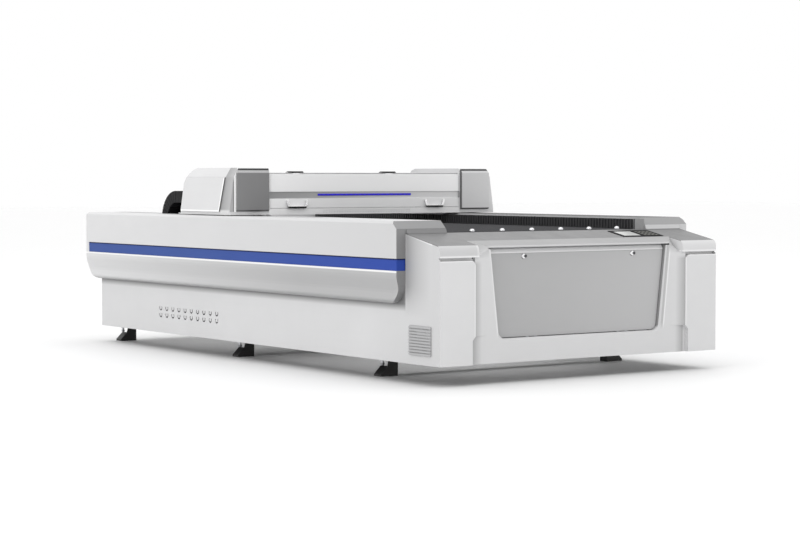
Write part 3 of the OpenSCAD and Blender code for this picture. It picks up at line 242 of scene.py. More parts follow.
# Tones of the paints. One real paint has several: its folds, returns and shaded sides are painted
# lighter or darker, so these tones don't follow the light
coloursAndPaintedLight = {
    "white": (0.672, 0.672, 0.677),
    "beamTop": (0.55, 0.55, 0.555),
    "beamWhiteLit": (0.84, 0.84, 0.845),
    "beamUpper": (0.97, 0.97, 0.975),
    "coverShaded": (0.575, 0.575, 0.58),
    "lowerRear": (0.66, 0.66, 0.665),
    "lowerFront": (0.425, 0.425, 0.428),
    "hollowRear": (0.62, 0.62, 0.625),
    "hollowFront": (0.40, 0.40, 0.403),
    "coverCurl": (0.30, 0.30, 0.303),
    "stripeLip": (0.86, 0.86, 0.86),
    "coverEndLeft": (0.235, 0.235, 0.238),
    "coverBevelLeft": (0.225, 0.225, 0.228),
    "coverEndRight": (0.62, 0.62, 0.625),
    "coverBevelRight": (0.335, 0.335, 0.338),
    "topLeft": (0.60, 0.60, 0.605),
    "topRight": (0.19, 0.19, 0.192),
    "bandLeft": (0.31, 0.31, 0.314),
    "bandRight": (0.70, 0.70, 0.705),
    "bandGlow": (0.10, 0.09, 0.45),
    "deck": (0.153, 0.153, 0.155),
    "nose": (0.32, 0.32, 0.323),
    "lip": (0.60, 0.60, 0.605),
    "upstandRight": (0.57, 0.57, 0.575),
    "channelEnd": (0.30, 0.30, 0.303),
    "door": (0.385, 0.385, 0.388),
    "doorRight": (0.46, 0.46, 0.464),
    "doorRim": (0.74, 0.74, 0.745),
    "doorLine": (0.36, 0.36, 0.363),
    "reveal": (0.30, 0.30, 0.303),
    "rimShade": (0.46, 0.46, 0.463),
    "fold": (0.99, 0.99, 0.99),
    "rimLight": (0.78, 0.78, 0.785),
    "plate": (0.635, 0.635, 0.64),
    "besidePillar": (0.40, 0.40, 0.403),
    "cheek": (0.50, 0.50, 0.503),
    "pillar": (0.66, 0.66, 0.665),
    "capLeft": (0.56, 0.56, 0.565),
    "capRight": (0.65, 0.65, 0.655),
    "capEnd": (0.65, 0.65, 0.655),
    "capRim": (0.80, 0.80, 0.805),
    "capUnder": (0.22, 0.22, 0.223),
    "grille": (0.42, 0.42, 0.425),
    "boxLeft": (0.215, 0.215, 0.218),
    "boxRight": (0.60, 0.60, 0.605),
    "boxBevel": (0.45, 0.45, 0.453),
    "boxSideFront": (0.42, 0.42, 0.424),
    "boxSideBack": (0.30, 0.30, 0.303),
    "edgeDark": (0.12, 0.12, 0.122),
    "edgeBlack": (0.016, 0.016, 0.017),
    "frame": (0.06, 0.062, 0.065),
    "blade": (0.085, 0.085, 0.09),
    "rack": (0.036, 0.036, 0.038),
    "stripe": (0.045, 0.090, 0.31),
    "stripeFront": (0.030, 0.070, 0.36),
    "stripeShade": (0.005, 0.008, 0.05),
    "panelWhite": (0.64, 0.64, 0.645),
    "underCover": (0.16, 0.16, 0.162),
    "panelShade": (0.38, 0.38, 0.384),
    "towerSide": (0.575, 0.575, 0.58),
    "light": (0.006, 0.002, 0.36),
}


def facing(tree, axis, low, high):
    # 1 where the surface looks along an axis, 0 where it looks away
    geometry = addNode(tree, "ShaderNodeNewGeometry")
    split = addNode(tree, "ShaderNodeSeparateXYZ")
    tree.links.new(geometry.outputs["True Normal"], split.inputs["Vector"])
    return rangeOf(tree, split.outputs[axis], low, high, 0, 1)


def joinMasks(tree, operation, masks):
    joined = masks[0]
    for mask in masks[1:]:
        node = addNode(tree, "ShaderNodeMath", {"operation": operation})
        tree.links.new(joined, node.inputs[0])
        tree.links.new(mask, node.inputs[1])
        joined = node.outputs[0]
    return joined


def bothOf(tree, *masks):
    return joinMasks(tree, "MULTIPLY", masks)


def eitherOf(tree, *masks):
    return joinMasks(tree, "MAXIMUM", masks)


def alongAxis(tree, axis, low, high):
    # runs from 0 to 1 between two places on an axis
    return rangeOf(tree, ownPlace(tree, axis), low, high, 0, 1)


def pastSlant(tree, direction, edge, soft=0.0005):
    # 1 past an edge that leans: direction points across it
    place = addNode(tree, "ShaderNodeTexCoord")
    across = addNode(tree, "ShaderNodeVectorMath", {"operation": "DOT_PRODUCT"})
    tree.links.new(place.outputs["Object"], across.inputs[0])
    across.inputs[1].default_value = direction
    return rangeOf(tree, across.outputs["Value"], edge - soft, edge + soft, 0, 1)


def between(tree, axis, low, high, soft=0.0005):
    return bothOf(tree, maskAlong(tree, axis, low, soft), maskAlong(tree, axis, high, soft, above=False))


def beyond(tree, axis, half, soft=0.0005):
    # 1 farther out than half, to either side
    return eitherOf(tree, maskAlong(tree, axis, half, soft), maskAlong(tree, axis, -half, soft, above=False))


def sideFacing(tree, low, high):
    # 1 where the surface looks left or right
    return eitherOf(tree, facing(tree, "X", low, high), facing(tree, "X", -low, -high))


def layColourAndPaintedLight(material, mask, colour):
    # lays a second colour over the coat where the mask is 1: a real colour, or painted light and shade
    tree = material.node_tree
    shader = tree.nodes["Principled BSDF"]
    under = shader.inputs["Base Color"].links[0].from_socket
    tree.links.new(blendColours(tree, mask, under, colour), shader.inputs["Base Color"])


# Side covers: white sides with painted shade towards the front, painted shade under the stripe and on the
# downward hollow and curl, a painted highlight along the lip under the stripe, and painted shade on the
# front bevel, the ends and the top
def coverCoat(name, bevelColour, endColour, topColour):
    material = powderCoat(name, coloursAndPaintedLight["white"])
    tree = material.node_tree
    towardsFront = alongAxis(tree, "Y", 2.0, -0.7)
    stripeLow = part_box("side_stripes")[0][2]
    lower = maskAlong(tree, "Z", stripeLow - 0.012, 0.002, above=False)
    # painted shade: darker towards the front, darker again below the stripe and most on the downward hollow
    layColourAndPaintedLight(material, alongAxis(tree, "Y", 2.0, -1.7), coloursAndPaintedLight["coverShaded"])
    layColourAndPaintedLight(material, lower, blendColours(tree, towardsFront, coloursAndPaintedLight["lowerRear"], coloursAndPaintedLight["lowerFront"]))
    hollow = bothOf(tree, lower, facing(tree, "Z", -0.06, -0.1))
    layColourAndPaintedLight(material, hollow, blendColours(tree, towardsFront, coloursAndPaintedLight["hollowRear"], coloursAndPaintedLight["hollowFront"]))
    # painted shade on the curl that faces down; painted highlight along the lip under the stripe
    layColourAndPaintedLight(material, facing(tree, "Z", -0.4, -0.9), coloursAndPaintedLight["coverCurl"])
    layColourAndPaintedLight(material, between(tree, "Z", stripeLow - 0.010, stripeLow - 0.001, 0.001), coloursAndPaintedLight["stripeLip"])
    # painted shade on the front bevel, the end face and the top
    turned = facing(tree, "Y", -0.3, -0.5)
    atFront = maskAlong(tree, "Y", -1.60, above=False)
    layColourAndPaintedLight(material, bothOf(tree, turned, atFront), bevelColour)
    layColourAndPaintedLight(material, bothOf(tree, facing(tree, "Y", -0.9, -0.97), atFront), endColour)
    layColourAndPaintedLight(material, facing(tree, "Z", 0.9, 0.97), topColour)
    return material


deckSlope = 0.203                                # fall of the deck towards the front


# Deck: darker grey. Its steep nose between the shoulder caps is painted lighter as painted light, its lower
# lip carries a painted highlight, and its highest strip is painted in light and shade, lighter on the right
def deckCoat(name, noseBack, noseHalf):
    material = powderCoat(name, coloursAndPaintedLight["deck"], rough=0.42, grime=0.08)
    tree = material.node_tree
    middle = between(tree, "X", -noseHalf, noseHalf)
    layColourAndPaintedLight(material, bothOf(tree, middle, maskAlong(tree, "Y", noseBack, above=False)), coloursAndPaintedLight["nose"])
    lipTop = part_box("deck")[0][2] + 0.0085
    layColourAndPaintedLight(material, bothOf(tree, middle, maskAlong(tree, "Z", lipTop, 0.002, above=False)), coloursAndPaintedLight["lip"])
    upstand = maskAlong(tree, "Z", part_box("deck")[1][2] - 0.0215)
    layColourAndPaintedLight(material, bothOf(tree, upstand, maskAlong(tree, "X", 0, above=False)), coloursAndPaintedLight["coverBevelLeft"])
    layColourAndPaintedLight(material, bothOf(tree, upstand, maskAlong(tree, "X", 0)), coloursAndPaintedLight["upstandRight"])
    return material


# Blue film sunk in its channel: bluer towards the front, with painted shadow, deep blue to near black, under
# the channel's upper edge
def blueFilm(name):
    material = powderCoat(name, coloursAndPaintedLight["stripe"], rough=0.5, peel=0.00003, grime=0.06, coat=0.0)
    tree = material.node_tree
    setInputs(material, {"Specular IOR Level": 0.12})
    low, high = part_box("side_stripes")
    layColourAndPaintedLight(material, alongAxis(tree, "Y", 0.5, low[1]), coloursAndPaintedLight["stripeFront"])
    # painted shadow under the channel's upper edge
    layColourAndPaintedLight(material, maskAlong(tree, "Z", high[2] - 0.007, 0.003), coloursAndPaintedLight["stripeShade"])
    return material


# Side panel: painted shade along the tower, darkest where the cover's end meets it, a painted highlight
# along the tower's top edge, and a painted shadow just under the cover
def sidePanelCoat(name, coverFront, towerFront):
    material = powderCoat(name, coloursAndPaintedLight["panelWhite"])
    tree = material.node_tree
    onTower = maskAlong(tree, "Y", coverFront, 0.02, above=False)
    layColourAndPaintedLight(material, alongAxis(tree, "Y", coverFront + 0.4, towerFront), coloursAndPaintedLight["towerSide"])
    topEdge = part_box("side_panel_left")[1][2] - deckSlope * coverFront - 0.007
    towerEdge = bothOf(tree, pastSlant(tree, (0, -deckSlope, 1), topEdge, 0.001),
                       maskAlong(tree, "Y", coverFront, 0.001, above=False))
    layColourAndPaintedLight(material, towerEdge, coloursAndPaintedLight["rimLight"])
    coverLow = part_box("cover_right")[0][2]
    belowCover = alongAxis(tree, "Z", coverLow - 0.04, coverLow)
    underCover = bothOf(tree, belowCover, maskAlong(tree, "Y", coverFront))
    layColourAndPaintedLight(material, underCover, coloursAndPaintedLight["underCover"])
    nearCover = alongAxis(tree, "Y", towerFront + 0.08, coverFront)
    besideCover = bothOf(tree, onTower, nearCover, alongAxis(tree, "Z", 0.36, 0.52))
    layColourAndPaintedLight(material, besideCover, coloursAndPaintedLight["panelShade"])
    return material


# Membrane keypad: a black field with raised pale keys
def keypadCoat(name):
    material = mouldedPlastic(name, (0.012, 0.012, 0.013), 0.45, 0.00003)
    setInputs(material, {"Specular IOR Level": 0.02})
    tilt = math.atan(deckSlope)
    upright = Vector((0, -math.sin(tilt), math.cos(tilt)))
    low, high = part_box("panel_bezel")
    face = upright.dot(Vector((0, low[1], high[2] - deckSlope * (high[1] - low[1]))))
    layColourAndPaintedLight(material, pastSlant(material.node_tree, upright, face, 0.0002), (0.17, 0.17, 0.16))
    return material


# Front bar of the bed: dark between the racks, pale where it closes the rail channels
def frontBarCoat(name, halfBed):
    material = workedMetal(name, coloursAndPaintedLight["blade"], 0.45, (1, 90, 30))
    setInputs(material, {"Metallic": 0.35})
    layColourAndPaintedLight(material, beyond(material.node_tree, "X", halfBed), coloursAndPaintedLight["channelEnd"])
    return material


band = {
    "below": 0.018,                              # its edges, measured from the light strip's
    "above": 0.014,
    "fade": (-0.2, -0.6),                        # painted light: from here the white is painted brighter to the left
}


def sunkBand(tree):
    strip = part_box("light_strip")
    return between(tree, "Z", strip[0][2] - band["below"], strip[1][2] + band["above"])


# Beam and its door: white painted lighter as painted light, and lighter still towards the left and above the
# light strip; a grey band with painted shade that lightens to the right, a painted glow of the strip around
# it, black hinge knuckles on top
def bandedCoat(name):
    material = powderCoat(name, coloursAndPaintedLight["beamWhiteLit"])
    tree = material.node_tree
    strip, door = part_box("light_strip"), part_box("beam_door")
    layColourAndPaintedLight(material, alongAxis(tree, "X", *band["fade"]), coloursAndPaintedLight["beamUpper"])
    layColourAndPaintedLight(material, maskAlong(tree, "Z", strip[1][2], 0.01), coloursAndPaintedLight["beamUpper"])
    toRight = alongAxis(tree, "X", door[0][0], door[1][0] - 0.3)
    tone = blendColours(tree, toRight, coloursAndPaintedLight["bandLeft"], coloursAndPaintedLight["bandRight"])
    layColourAndPaintedLight(material, sunkBand(tree), tone)
    # painted glow of the light strip on the band around it
    paintedSpill = bothOf(tree, between(tree, "Z", strip[0][2] - 0.0025, strip[1][2] + 0.002, 0.0015),
                   between(tree, "X", strip[0][0], strip[1][0], 0.002))
    layColourAndPaintedLight(material, paintedSpill, coloursAndPaintedLight["bandGlow"])
    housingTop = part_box("beam_housing")[1][2]
    layColourAndPaintedLight(material, maskAlong(tree, "Z", housingTop - 0.0035), coloursAndPaintedLight["edgeBlack"])
    return material


# Beam housing: as the door with its painted light, without the knuckles and the strip's painted glow; the
# band's front gets the band's darker left tone as painted shade, and the top gets painted shade
def housingCoat(name):
    material = powderCoat(name, coloursAndPaintedLight["beamWhiteLit"])
    tree = material.node_tree
    front = facing(tree, "Y", -0.7, -0.9)
    layColourAndPaintedLight(material, alongAxis(tree, "X", *band["fade"]), coloursAndPaintedLight["beamUpper"])
    layColourAndPaintedLight(material, bothOf(tree, front, sunkBand(tree)), coloursAndPaintedLight["bandLeft"])
    layColourAndPaintedLight(material, facing(tree, "Z", 0.9, 0.97), coloursAndPaintedLight["beamTop"])
    return material


sidePlate = {
    "lean": 0.1038,                              # how far its front edge leans back for each metre up
    "front": 0.118,                              # behind the box's front, at the plate's foot
    "foot": 0.02,                                # above the box's lowest point
    "top": 0.233,
    "rim": 0.011,                                # width of the rim's painted highlight
}


# End box: the raised side plate stands out by painted shadow on its front and lower edges and on the strip
# in front of it, and by a painted highlight along its lower and front rim;
# beside the grey cover runs a fold with a painted highlight and a painted dark line at its outer side
def endBoxCoat(name, node, foldOuter, foldWidth):
    material = powderCoat(name, coloursAndPaintedLight["white"])
    tree = material.node_tree
    low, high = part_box(node)
    foot = low[2] + sidePlate["foot"]
    frontEdge = low[1] + sidePlate["front"] + sidePlate["lean"] * foot
    forward = (0, -1, -sidePlate["lean"])
    behindFront = maskAlong(tree, "Y", low[1] + 0.03)
    outward = -1 if low[0] < 0 else 1
    sideways = facing(tree, "X", outward * 0.6, outward * 0.8)
    nearPlate = alongAxis(tree, "Y", low[1] + 0.02, low[1] + sidePlate["front"])
    shadow = blendColours(tree, nearPlate, coloursAndPaintedLight["boxSideFront"], coloursAndPaintedLight["boxSideBack"])
    inFront = bothOf(tree, pastSlant(tree, forward, -frontEdge, 0.001), sideways,
                     maskAlong(tree, "Z", low[2] + 0.03, 0.006))
    layColourAndPaintedLight(material, inFront, shadow)
    lowRim = maskAlong(tree, "Z", low[2] + 0.029, 0.001, above=False)
    frontRim = bothOf(tree, behindFront, pastSlant(tree, forward, -frontEdge - sidePlate["rim"], 0.001))
    onPlate = pastSlant(tree, (0, 1, sidePlate["lean"]), frontEdge + 0.0005)
    rim = bothOf(tree, sideways, maskAlong(tree, "Z", foot), eitherOf(tree, lowRim, frontRim), onPlate,
                 maskAlong(tree, "Z", low[2] + sidePlate["top"], 0.001, above=False))
    layColourAndPaintedLight(material, rim, coloursAndPaintedLight["fold"])
    lowEdge = bothOf(tree, facing(tree, "Z", -0.8, -0.95), maskAlong(tree, "Z", low[2] + 0.010))
    edges = bothOf(tree, behindFront, eitherOf(tree, facing(tree, "Y", -0.7, -0.9), lowEdge))
    layColourAndPaintedLight(material, edges, coloursAndPaintedLight["edgeDark"])
    if foldWidth:
        atFront = maskAlong(tree, "Y", low[1] + 0.01, above=False)
        front = bothOf(tree, facing(tree, "Y", -0.9, -0.97), atFront, maskAlong(tree, "Z", foot))
        foldEnd = foldOuter - foldWidth
        outside = maskAlong(tree, "X", foldEnd, above=False)
        line = between(tree, "X", foldEnd - 0.006, foldEnd)
        fold = between(tree, "X", foldEnd, foldOuter)
        for mask, tone in ((outside, "boxSideFront"), (line, "edgeDark"), (fold, "fold")):
            layColourAndPaintedLight(material, bothOf(tree, front, mask), coloursAndPaintedLight[tone])
    return material


opening = {
    "lean": 0.1107,                              # how far its sides lean out for each metre up
    "narrower": 0.0412,                          # its foot, against the door's widest half
    "fold": 0.017,                               # width of the painted shade on the fold at the right
    "rimLeft": 0.007,
    "rimRight": 0.026,
    "reveal": 0.02,
    "cheek": (0.655, 0.735),                     # upper corners beside the deck's nose, painted in shade
    "beside": 0.06,                              # width of the painted shade beside a pillar
}


# Front plate: painted shade on the walls of the door's opening and on the fold at its right, a painted
# highlight on its folded rim, painted shade beside each pillar and on the upper corners beside the nose, and
# painted light lifting the groove under each cap
def frontPlateCoat(name, pillarEdge):
    material = powderCoat(name, coloursAndPaintedLight["plate"])
    tree = material.node_tree
    low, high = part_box("front_door")
    edge = high[0] - opening["narrower"] - opening["lean"] * low[2]
    for side in (-1, 1):
        outward, inward = (side, 0, -opening["lean"]), (-side, 0, opening["lean"])
        width = opening["rimRight"] if side > 0 else opening["rimLeft"]
        rim = bothOf(tree, pastSlant(tree, outward, edge), maskAlong(tree, "Z", low[2] + 0.02, 0.02))
        outerRim = bothOf(tree, rim, pastSlant(tree, inward, -edge - width, 0.002))
        if side > 0:
            fold = bothOf(tree, rim, pastSlant(tree, inward, -edge - opening["fold"], 0.002))
            layColourAndPaintedLight(material, fold, coloursAndPaintedLight["rimShade"])
            outerRim = bothOf(tree, outerRim, pastSlant(tree, outward, edge + opening["fold"], 0.002))
        layColourAndPaintedLight(material, outerRim, coloursAndPaintedLight["rimLight"])
        innerEdge = side * pillarEdge
        shadeStart = innerEdge - side * opening["beside"]
        flank = bothOf(tree, alongAxis(tree, "X", shadeStart, innerEdge),
                       between(tree, "X", *sorted((innerEdge, shadeStart))),
                       maskAlong(tree, "Z", 0.66, 0.01, above=False))
        layColourAndPaintedLight(material, flank, coloursAndPaintedLight["besidePillar"])
    halfWidth = high[0] + opening["reveal"]
    walls = bothOf(tree, sideFacing(tree, 0.82, 0.9), between(tree, "X", -halfWidth, halfWidth))
    layColourAndPaintedLight(material, walls, coloursAndPaintedLight["reveal"])
    # painted light lifting the shaded groove under each cap
    grooveBack = between(tree, "Z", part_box("front_pillars")[1][2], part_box("shoulder_caps")[0][2], 0.001)
    groove = bothOf(tree, grooveBack, beyond(tree, "X", pillarEdge), facing(tree, "Y", -0.9, -0.97))
    layColourAndPaintedLight(material, groove, coloursAndPaintedLight["stripeLip"])
    inner, outer = opening["cheek"]
    cheeks = bothOf(tree, maskAlong(tree, "Z", 0.70, 0.02), eitherOf(
        tree, between(tree, "X", inner, outer, 0.004), between(tree, "X", -outer, -inner, 0.004)))
    layColourAndPaintedLight(material, cheeks, coloursAndPaintedLight["cheek"])
    return material


# Pillar: painted highlights along its inner and upper edges, and painted shade on its top towards the rear
def pillarCoat(name, pillarEdge):
    material = powderCoat(name, coloursAndPaintedLight["pillar"])
    tree = material.node_tree
    low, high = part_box("front_pillars")
    nearEdge = between(tree, "X", -pillarEdge - 0.006, pillarEdge + 0.006, 0.001)
    topEdge = maskAlong(tree, "Z", high[2] - 0.006, 0.001)
    layColourAndPaintedLight(material, eitherOf(tree, nearEdge, topEdge), coloursAndPaintedLight["rimLight"])
    rearOfTop = bothOf(tree, facing(tree, "Z", 0.9, 0.97), maskAlong(tree, "Y", low[1] + 0.006))
    layColourAndPaintedLight(material, rearOfTop, coloursAndPaintedLight["edgeDark"])
    return material


# Shoulder cap: painted light and shade; the left cap is painted darker than the right, its inner end and its
# lower rim carry a painted highlight, its underside painted shade, and its sides the tower's painted side
# tone
def capCoat(name):
    material = powderCoat(name, coloursAndPaintedLight["capRight"])
    tree = material.node_tree
    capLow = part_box("front_pillars")[1][2] + 0.017   # a cap's front ends this far above the pillars
    layColourAndPaintedLight(material, maskAlong(tree, "X", 0, above=False), coloursAndPaintedLight["capLeft"])
    layColourAndPaintedLight(material, between(tree, "X", -0.751, 0.751, 0.003), coloursAndPaintedLight["capEnd"])
    layColourAndPaintedLight(material, maskAlong(tree, "Z", capLow + 0.009, 0.003, above=False), coloursAndPaintedLight["capRim"])
    layColourAndPaintedLight(material, facing(tree, "Z", -0.5, -0.8), coloursAndPaintedLight["capUnder"])
    layColourAndPaintedLight(material, bothOf(tree, sideFacing(tree, 0.8, 0.95), beyond(tree, "X", 0.99)), coloursAndPaintedLight["towerSide"])
    return material


# Front door: painted light lightens it towards the right; its top edge carries a painted highlight with a
# painted shadow line under it
def doorCoat(name):
    material = powderCoat(name, coloursAndPaintedLight["door"], rough=0.4, grime=0.08)
    tree = material.node_tree
    low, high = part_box("front_door")
    top = high[2]
    layColourAndPaintedLight(material, alongAxis(tree, "X", low[0], high[0]), coloursAndPaintedLight["doorRight"])
    layColourAndPaintedLight(material, maskAlong(tree, "Z", top - 0.024, 0.002), coloursAndPaintedLight["doorRim"])
    layColourAndPaintedLight(material, between(tree, "Z", top - 0.028, top - 0.024, 0.001), coloursAndPaintedLight["doorLine"])
    return material


# Front cover of an end box: painted reflection as a lighter bevel along its top and a black line on its top
# edge; painted shadow as dark lines along its foot and, if a side width is given, its left edge
def boxFrontCoat(name, colour, node, sideWidth, bevelColour):
    material = powderCoat(name, colour, rough=0.35)
    tree = material.node_tree
    low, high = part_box(node)
    layColourAndPaintedLight(material, maskAlong(tree, "Z", high[2] - 0.027, 0.002), bevelColour)
    if sideWidth:
        layColourAndPaintedLight(material, maskAlong(tree, "X", low[0] + sideWidth, 0.001, above=False), coloursAndPaintedLight["edgeDark"])
    layColourAndPaintedLight(material, maskAlong(tree, "Z", low[2] + 0.010, 0.002, above=False), coloursAndPaintedLight["edgeDark"])
    layColourAndPaintedLight(material, maskAlong(tree, "Z", high[2] - 0.0115, 0.001), coloursAndPaintedLight["edgeBlack"])
    return material


def glowingStrip(name):
    material, tree, shader = newMaterial(name)
    place = objectPlace(tree)
    bands = {"wave_type": "BANDS", "bands_direction": "X"}
    lamps = addNode(tree, "ShaderNodeTexWave", bands, Scale=9.0, Distortion=0.4)
    tree.links.new(place, lamps.inputs["Vector"])
    glow = blendColours(tree, lamps.outputs["Fac"], coloursAndPaintedLight["light"], shade(coloursAndPaintedLight["light"], 1.35))
    tree.links.new(glow, shader.inputs["Base Color"])
    tree.links.new(glow, shader.inputs["Emission Color"])
    shader.inputs["Emission Strength"].default_value = 0.42
    shader.inputs["Roughness"].default_value = 0.3
    return material


def clearGlass(name):
    material, tree, shader = newMaterial(name)
    slow = noiseOf(tree, objectPlace(tree), 30, 3)
    tree.links.new(rangeOf(tree, slow, 0.3, 0.7, 0.02, 0.06), shader.inputs["Roughness"])
    shader.inputs["Base Color"].default_value = (0.85, 0.93, 0.95, 1)
    shader.inputs["Transmission Weight"].default_value = 0.9
    shader.inputs["IOR"].default_value = 1.47
    return material


def displayWindow(name):
    material, tree, shader = newMaterial(name)
    slow = noiseOf(tree, objectPlace(tree), 14, 2)
    toned = blendColours(tree, slow, (0.50, 0.51, 0.50), (0.60, 0.61, 0.60))
    tree.links.new(toned, shader.inputs["Base Color"])
    shader.inputs["Roughness"].default_value = 0.2
    shader.inputs["Specular IOR Level"].default_value = 0.2
    return material


white = powderCoat("whitePowderCoat", coloursAndPaintedLight["white"])
# each cover gets its own painted shade on its front bevel, end face and top, different left and right
coverPaintLeft, coverPaintRight = [
    coverCoat(name, coloursAndPaintedLight["coverBevel" + side], coloursAndPaintedLight["coverEnd" + side], coloursAndPaintedLight["top" + side])
    for name, side in (("leftCoverCoat", "Left"), ("rightCoverCoat", "Right"))
]
setInputs(coverPaintRight, {"Specular IOR Level": 0.0, "Coat Weight": 0.0})
beamDoorPaint = bandedCoat("beamDoorCoat")
housingPaint = housingCoat("beamHousingCoat")
endBoxLeftPaint = endBoxCoat("leftEndBoxCoat", "end_box_left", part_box("box_front_left")[0][0], 0.016)
endBoxRightPaint = endBoxCoat("rightEndBoxCoat", "end_box_right", 0, 0)
pillarEdge = 0.763                               # inner edge of a front pillar
platePaint = frontPlateCoat("frontPlateCoat", pillarEdge)
pillarPaint = pillarCoat("frontPillarCoat", pillarEdge)
capPaint = capCoat("shoulderCapCoat")
deckGrey = deckCoat("deckGreyCoat", -1.885, 0.738)
grilleGrey = powderCoat("grilleCoat", coloursAndPaintedLight["grille"], rough=0.42, grime=0.08)
doorGrey = doorCoat("doorGreyCoat")
# the same grey paint on both box fronts: the left is painted darker as painted shade, the right lighter as
# painted light
leftBoxFrontShaded = boxFrontCoat("leftBoxFrontShadedCoat", coloursAndPaintedLight["boxLeft"], "box_front_left", 0, coloursAndPaintedLight["boxBevel"])
rightBoxFrontLit = boxFrontCoat("rightBoxFrontLitCoat", coloursAndPaintedLight["boxRight"], "box_front_right", 0.006, coloursAndPaintedLight["boxRight"])
cabinetGrey = powderCoat("cabinetCoat", coloursAndPaintedLight["grille"], rough=0.45)
framePaint = powderCoat("framePrimer", coloursAndPaintedLight["frame"], rough=0.55, peel=0.00012, grime=0.25, coat=0.0)
footBlack = powderCoat("footBlackCoat", (0.018, 0.018, 0.018), rough=0.45, peel=0.0001, grime=0.1, coat=0.0)
rackBlack = powderCoat("rackBlackCoat", coloursAndPaintedLight["rack"], rough=0.42, peel=0.0001, grime=0.2, coat=0.0)
bladeSteel = workedMetal("bladeSteel", coloursAndPaintedLight["blade"], 0.45, (1, 90, 30))
setInputs(bladeSteel, {"Metallic": 0.35})
frontBar = frontBarCoat("frontBarSteel", 0.652)
stripeFilm = blueFilm("blueFilm")
sidePaint = sidePanelCoat("sidePanelCoat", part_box("cover_right")[0][1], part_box("front_pillars")[0][1])
polished = workedMetal("polishedSteel", (0.82, 0.82, 0.84), 0.12, (1, 1, 1), 0.00001)
# painted reflection and shade on the steel balls: dark below, on the side facing +X and at the very top
for axis, low, high, tone in (("Z", 0.35, -0.25, 0.07), ("X", 0.1, 0.5, 0.12), ("Z", 0.72, 0.92, 0.2)):
    layColourAndPaintedLight(polished, facing(polished.node_tree, axis, low, high), (tone, tone, tone + 0.005))
handleSteel = workedMetal("handleSteel", (0.96, 0.96, 0.97), 0.22, (60, 1, 60), 0.00001)
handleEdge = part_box("door_handles")[0][2] + 0.0095   # painted shade on its lower edge
underHandle = maskAlong(handleSteel.node_tree, "Z", handleEdge, 0.001, above=False)
layColourAndPaintedLight(handleSteel, underHandle, (0.02, 0.02, 0.02))
chrome = workedMetal("chromedLock", (0.9, 0.9, 0.91), 0.08, (1, 1, 1), 0.00001)
# painted shade on the lock's downward faces
layColourAndPaintedLight(chrome, facing(chrome.node_tree, "Z", -0.1, -0.6), (0.05, 0.05, 0.05))
barrelSteel = workedMetal("barrelSteel", (0.10, 0.10, 0.105), 0.3, (1, 1, 1))
machined = workedMetal("machinedSteel", (0.58, 0.59, 0.61), 0.3)
aluminium = workedMetal("satinAluminium", (0.72, 0.73, 0.75), 0.36, (60, 1, 60))
rubber = mouldedPlastic("blackRubber", (0.022, 0.022, 0.022), 0.7)
nylon = mouldedPlastic("blackNylon", (0.009, 0.009, 0.01), 0.5, 0.00006)
setInputs(nylon, {"Specular IOR Level": 0.15})
bezelPlastic = mouldedPlastic("blackBezel", (0.012, 0.012, 0.013), 0.45, 0.00003)
setInputs(bezelPlastic, {"Specular IOR Level": 0.02})
membrane = keypadCoat("membraneKeypad")
screenWindow = displayWindow("displayWindow")
ledStrip = glowingStrip("blueLightStrip")
tubeGlass = clearGlass("tubeGlass")
print("finishes made")

coats = {
    "side_panel_left": sidePaint, "side_panel_right": sidePaint, "rear_panel": white, "rear_hood": white,
    "front_plate": platePaint, "front_pillars": pillarPaint, "shoulder_caps": capPaint,
    "cover_left": coverPaintLeft, "cover_left_inner": coverPaintLeft, "cover_right": coverPaintRight,
    "beam_housing": housingPaint, "beam_door": beamDoorPaint,
    "end_box_left": endBoxLeftPaint, "end_box_right": endBoxRightPaint,
    "deck": deckGrey, "side_grilles": grilleGrey, "front_door": doorGrey,
    "box_front_left": leftBoxFrontShaded, "box_front_right": rightBoxFrontLit, "power_supply": cabinetGrey,
    "feet": footBlack, "beam_hinges": footBlack, "y_motor": footBlack, "x_motor": footBlack,
    "side_racks": rackBlack, "side_stripes": stripeFilm, "light_strip": ledStrip,
    "blade_table": bladeSteel, "ball_rail": frontBar,
    "ball_units": polished, "lock_left": chrome, "lock_right": chrome, "door_handles": handleSteel,
    "levelling_bolts": machined, "door_hinges": machined, "guide_rails": machined, "rail_blocks": machined,
    "drive_shaft": machined,
    "idler_left": aluminium, "idler_right": aluminium, "x_pulley": aluminium, "x_idler": aluminium,
    "gantry_legs": aluminium, "gantry_beam": aluminium, "mirrors": aluminium,
    "x_carriage": aluminium, "laser_head": aluminium,
    "drive_belts": rubber, "x_belt": rubber, "cable_chain": nylon,
    "panel_bezel": bezelPlastic, "panel_screen": screenWindow, "panel_keypad": membrane,
    "laser_tube": tubeGlass,
    "base_rails": framePaint, "cross_members": framePaint, "posts": framePaint,
    "rail_beams": framePaint, "table_beams": framePaint, "bearing_blocks": framePaint,
}


def wearCoat(thing, material):
    thing.data.materials.clear()
    thing.data.materials.append(material)


for nodeName, material in coats.items():
    wearCoat(nodes[nodeName], material)
print("finishes on", len(coats), "pieces")


def placeInMesh(thing, body):
    # bakes the place into the mesh and lets the piece move with its body
    bpy.ops.object.select_all(action="DESELECT")
    thing.select_set(True)
    bpy.context.view_layer.objects.active = thing
    bpy.ops.object.transform_apply(location=True, rotation=True, scale=True)
    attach(thing, body)


def selectFaces(thing, wanted):
    # leaves edit mode with only the faces that pass the test selected
    bpy.ops.object.mode_set(mode="EDIT")
    bpy.ops.mesh.select_mode(type="FACE")
    bpy.ops.mesh.select_all(action="DESELECT")
    bpy.ops.object.mode_set(mode="OBJECT")
    for face in thing.data.polygons:
        face.select = wanted(face)
    bpy.ops.object.mode_set(mode="EDIT")


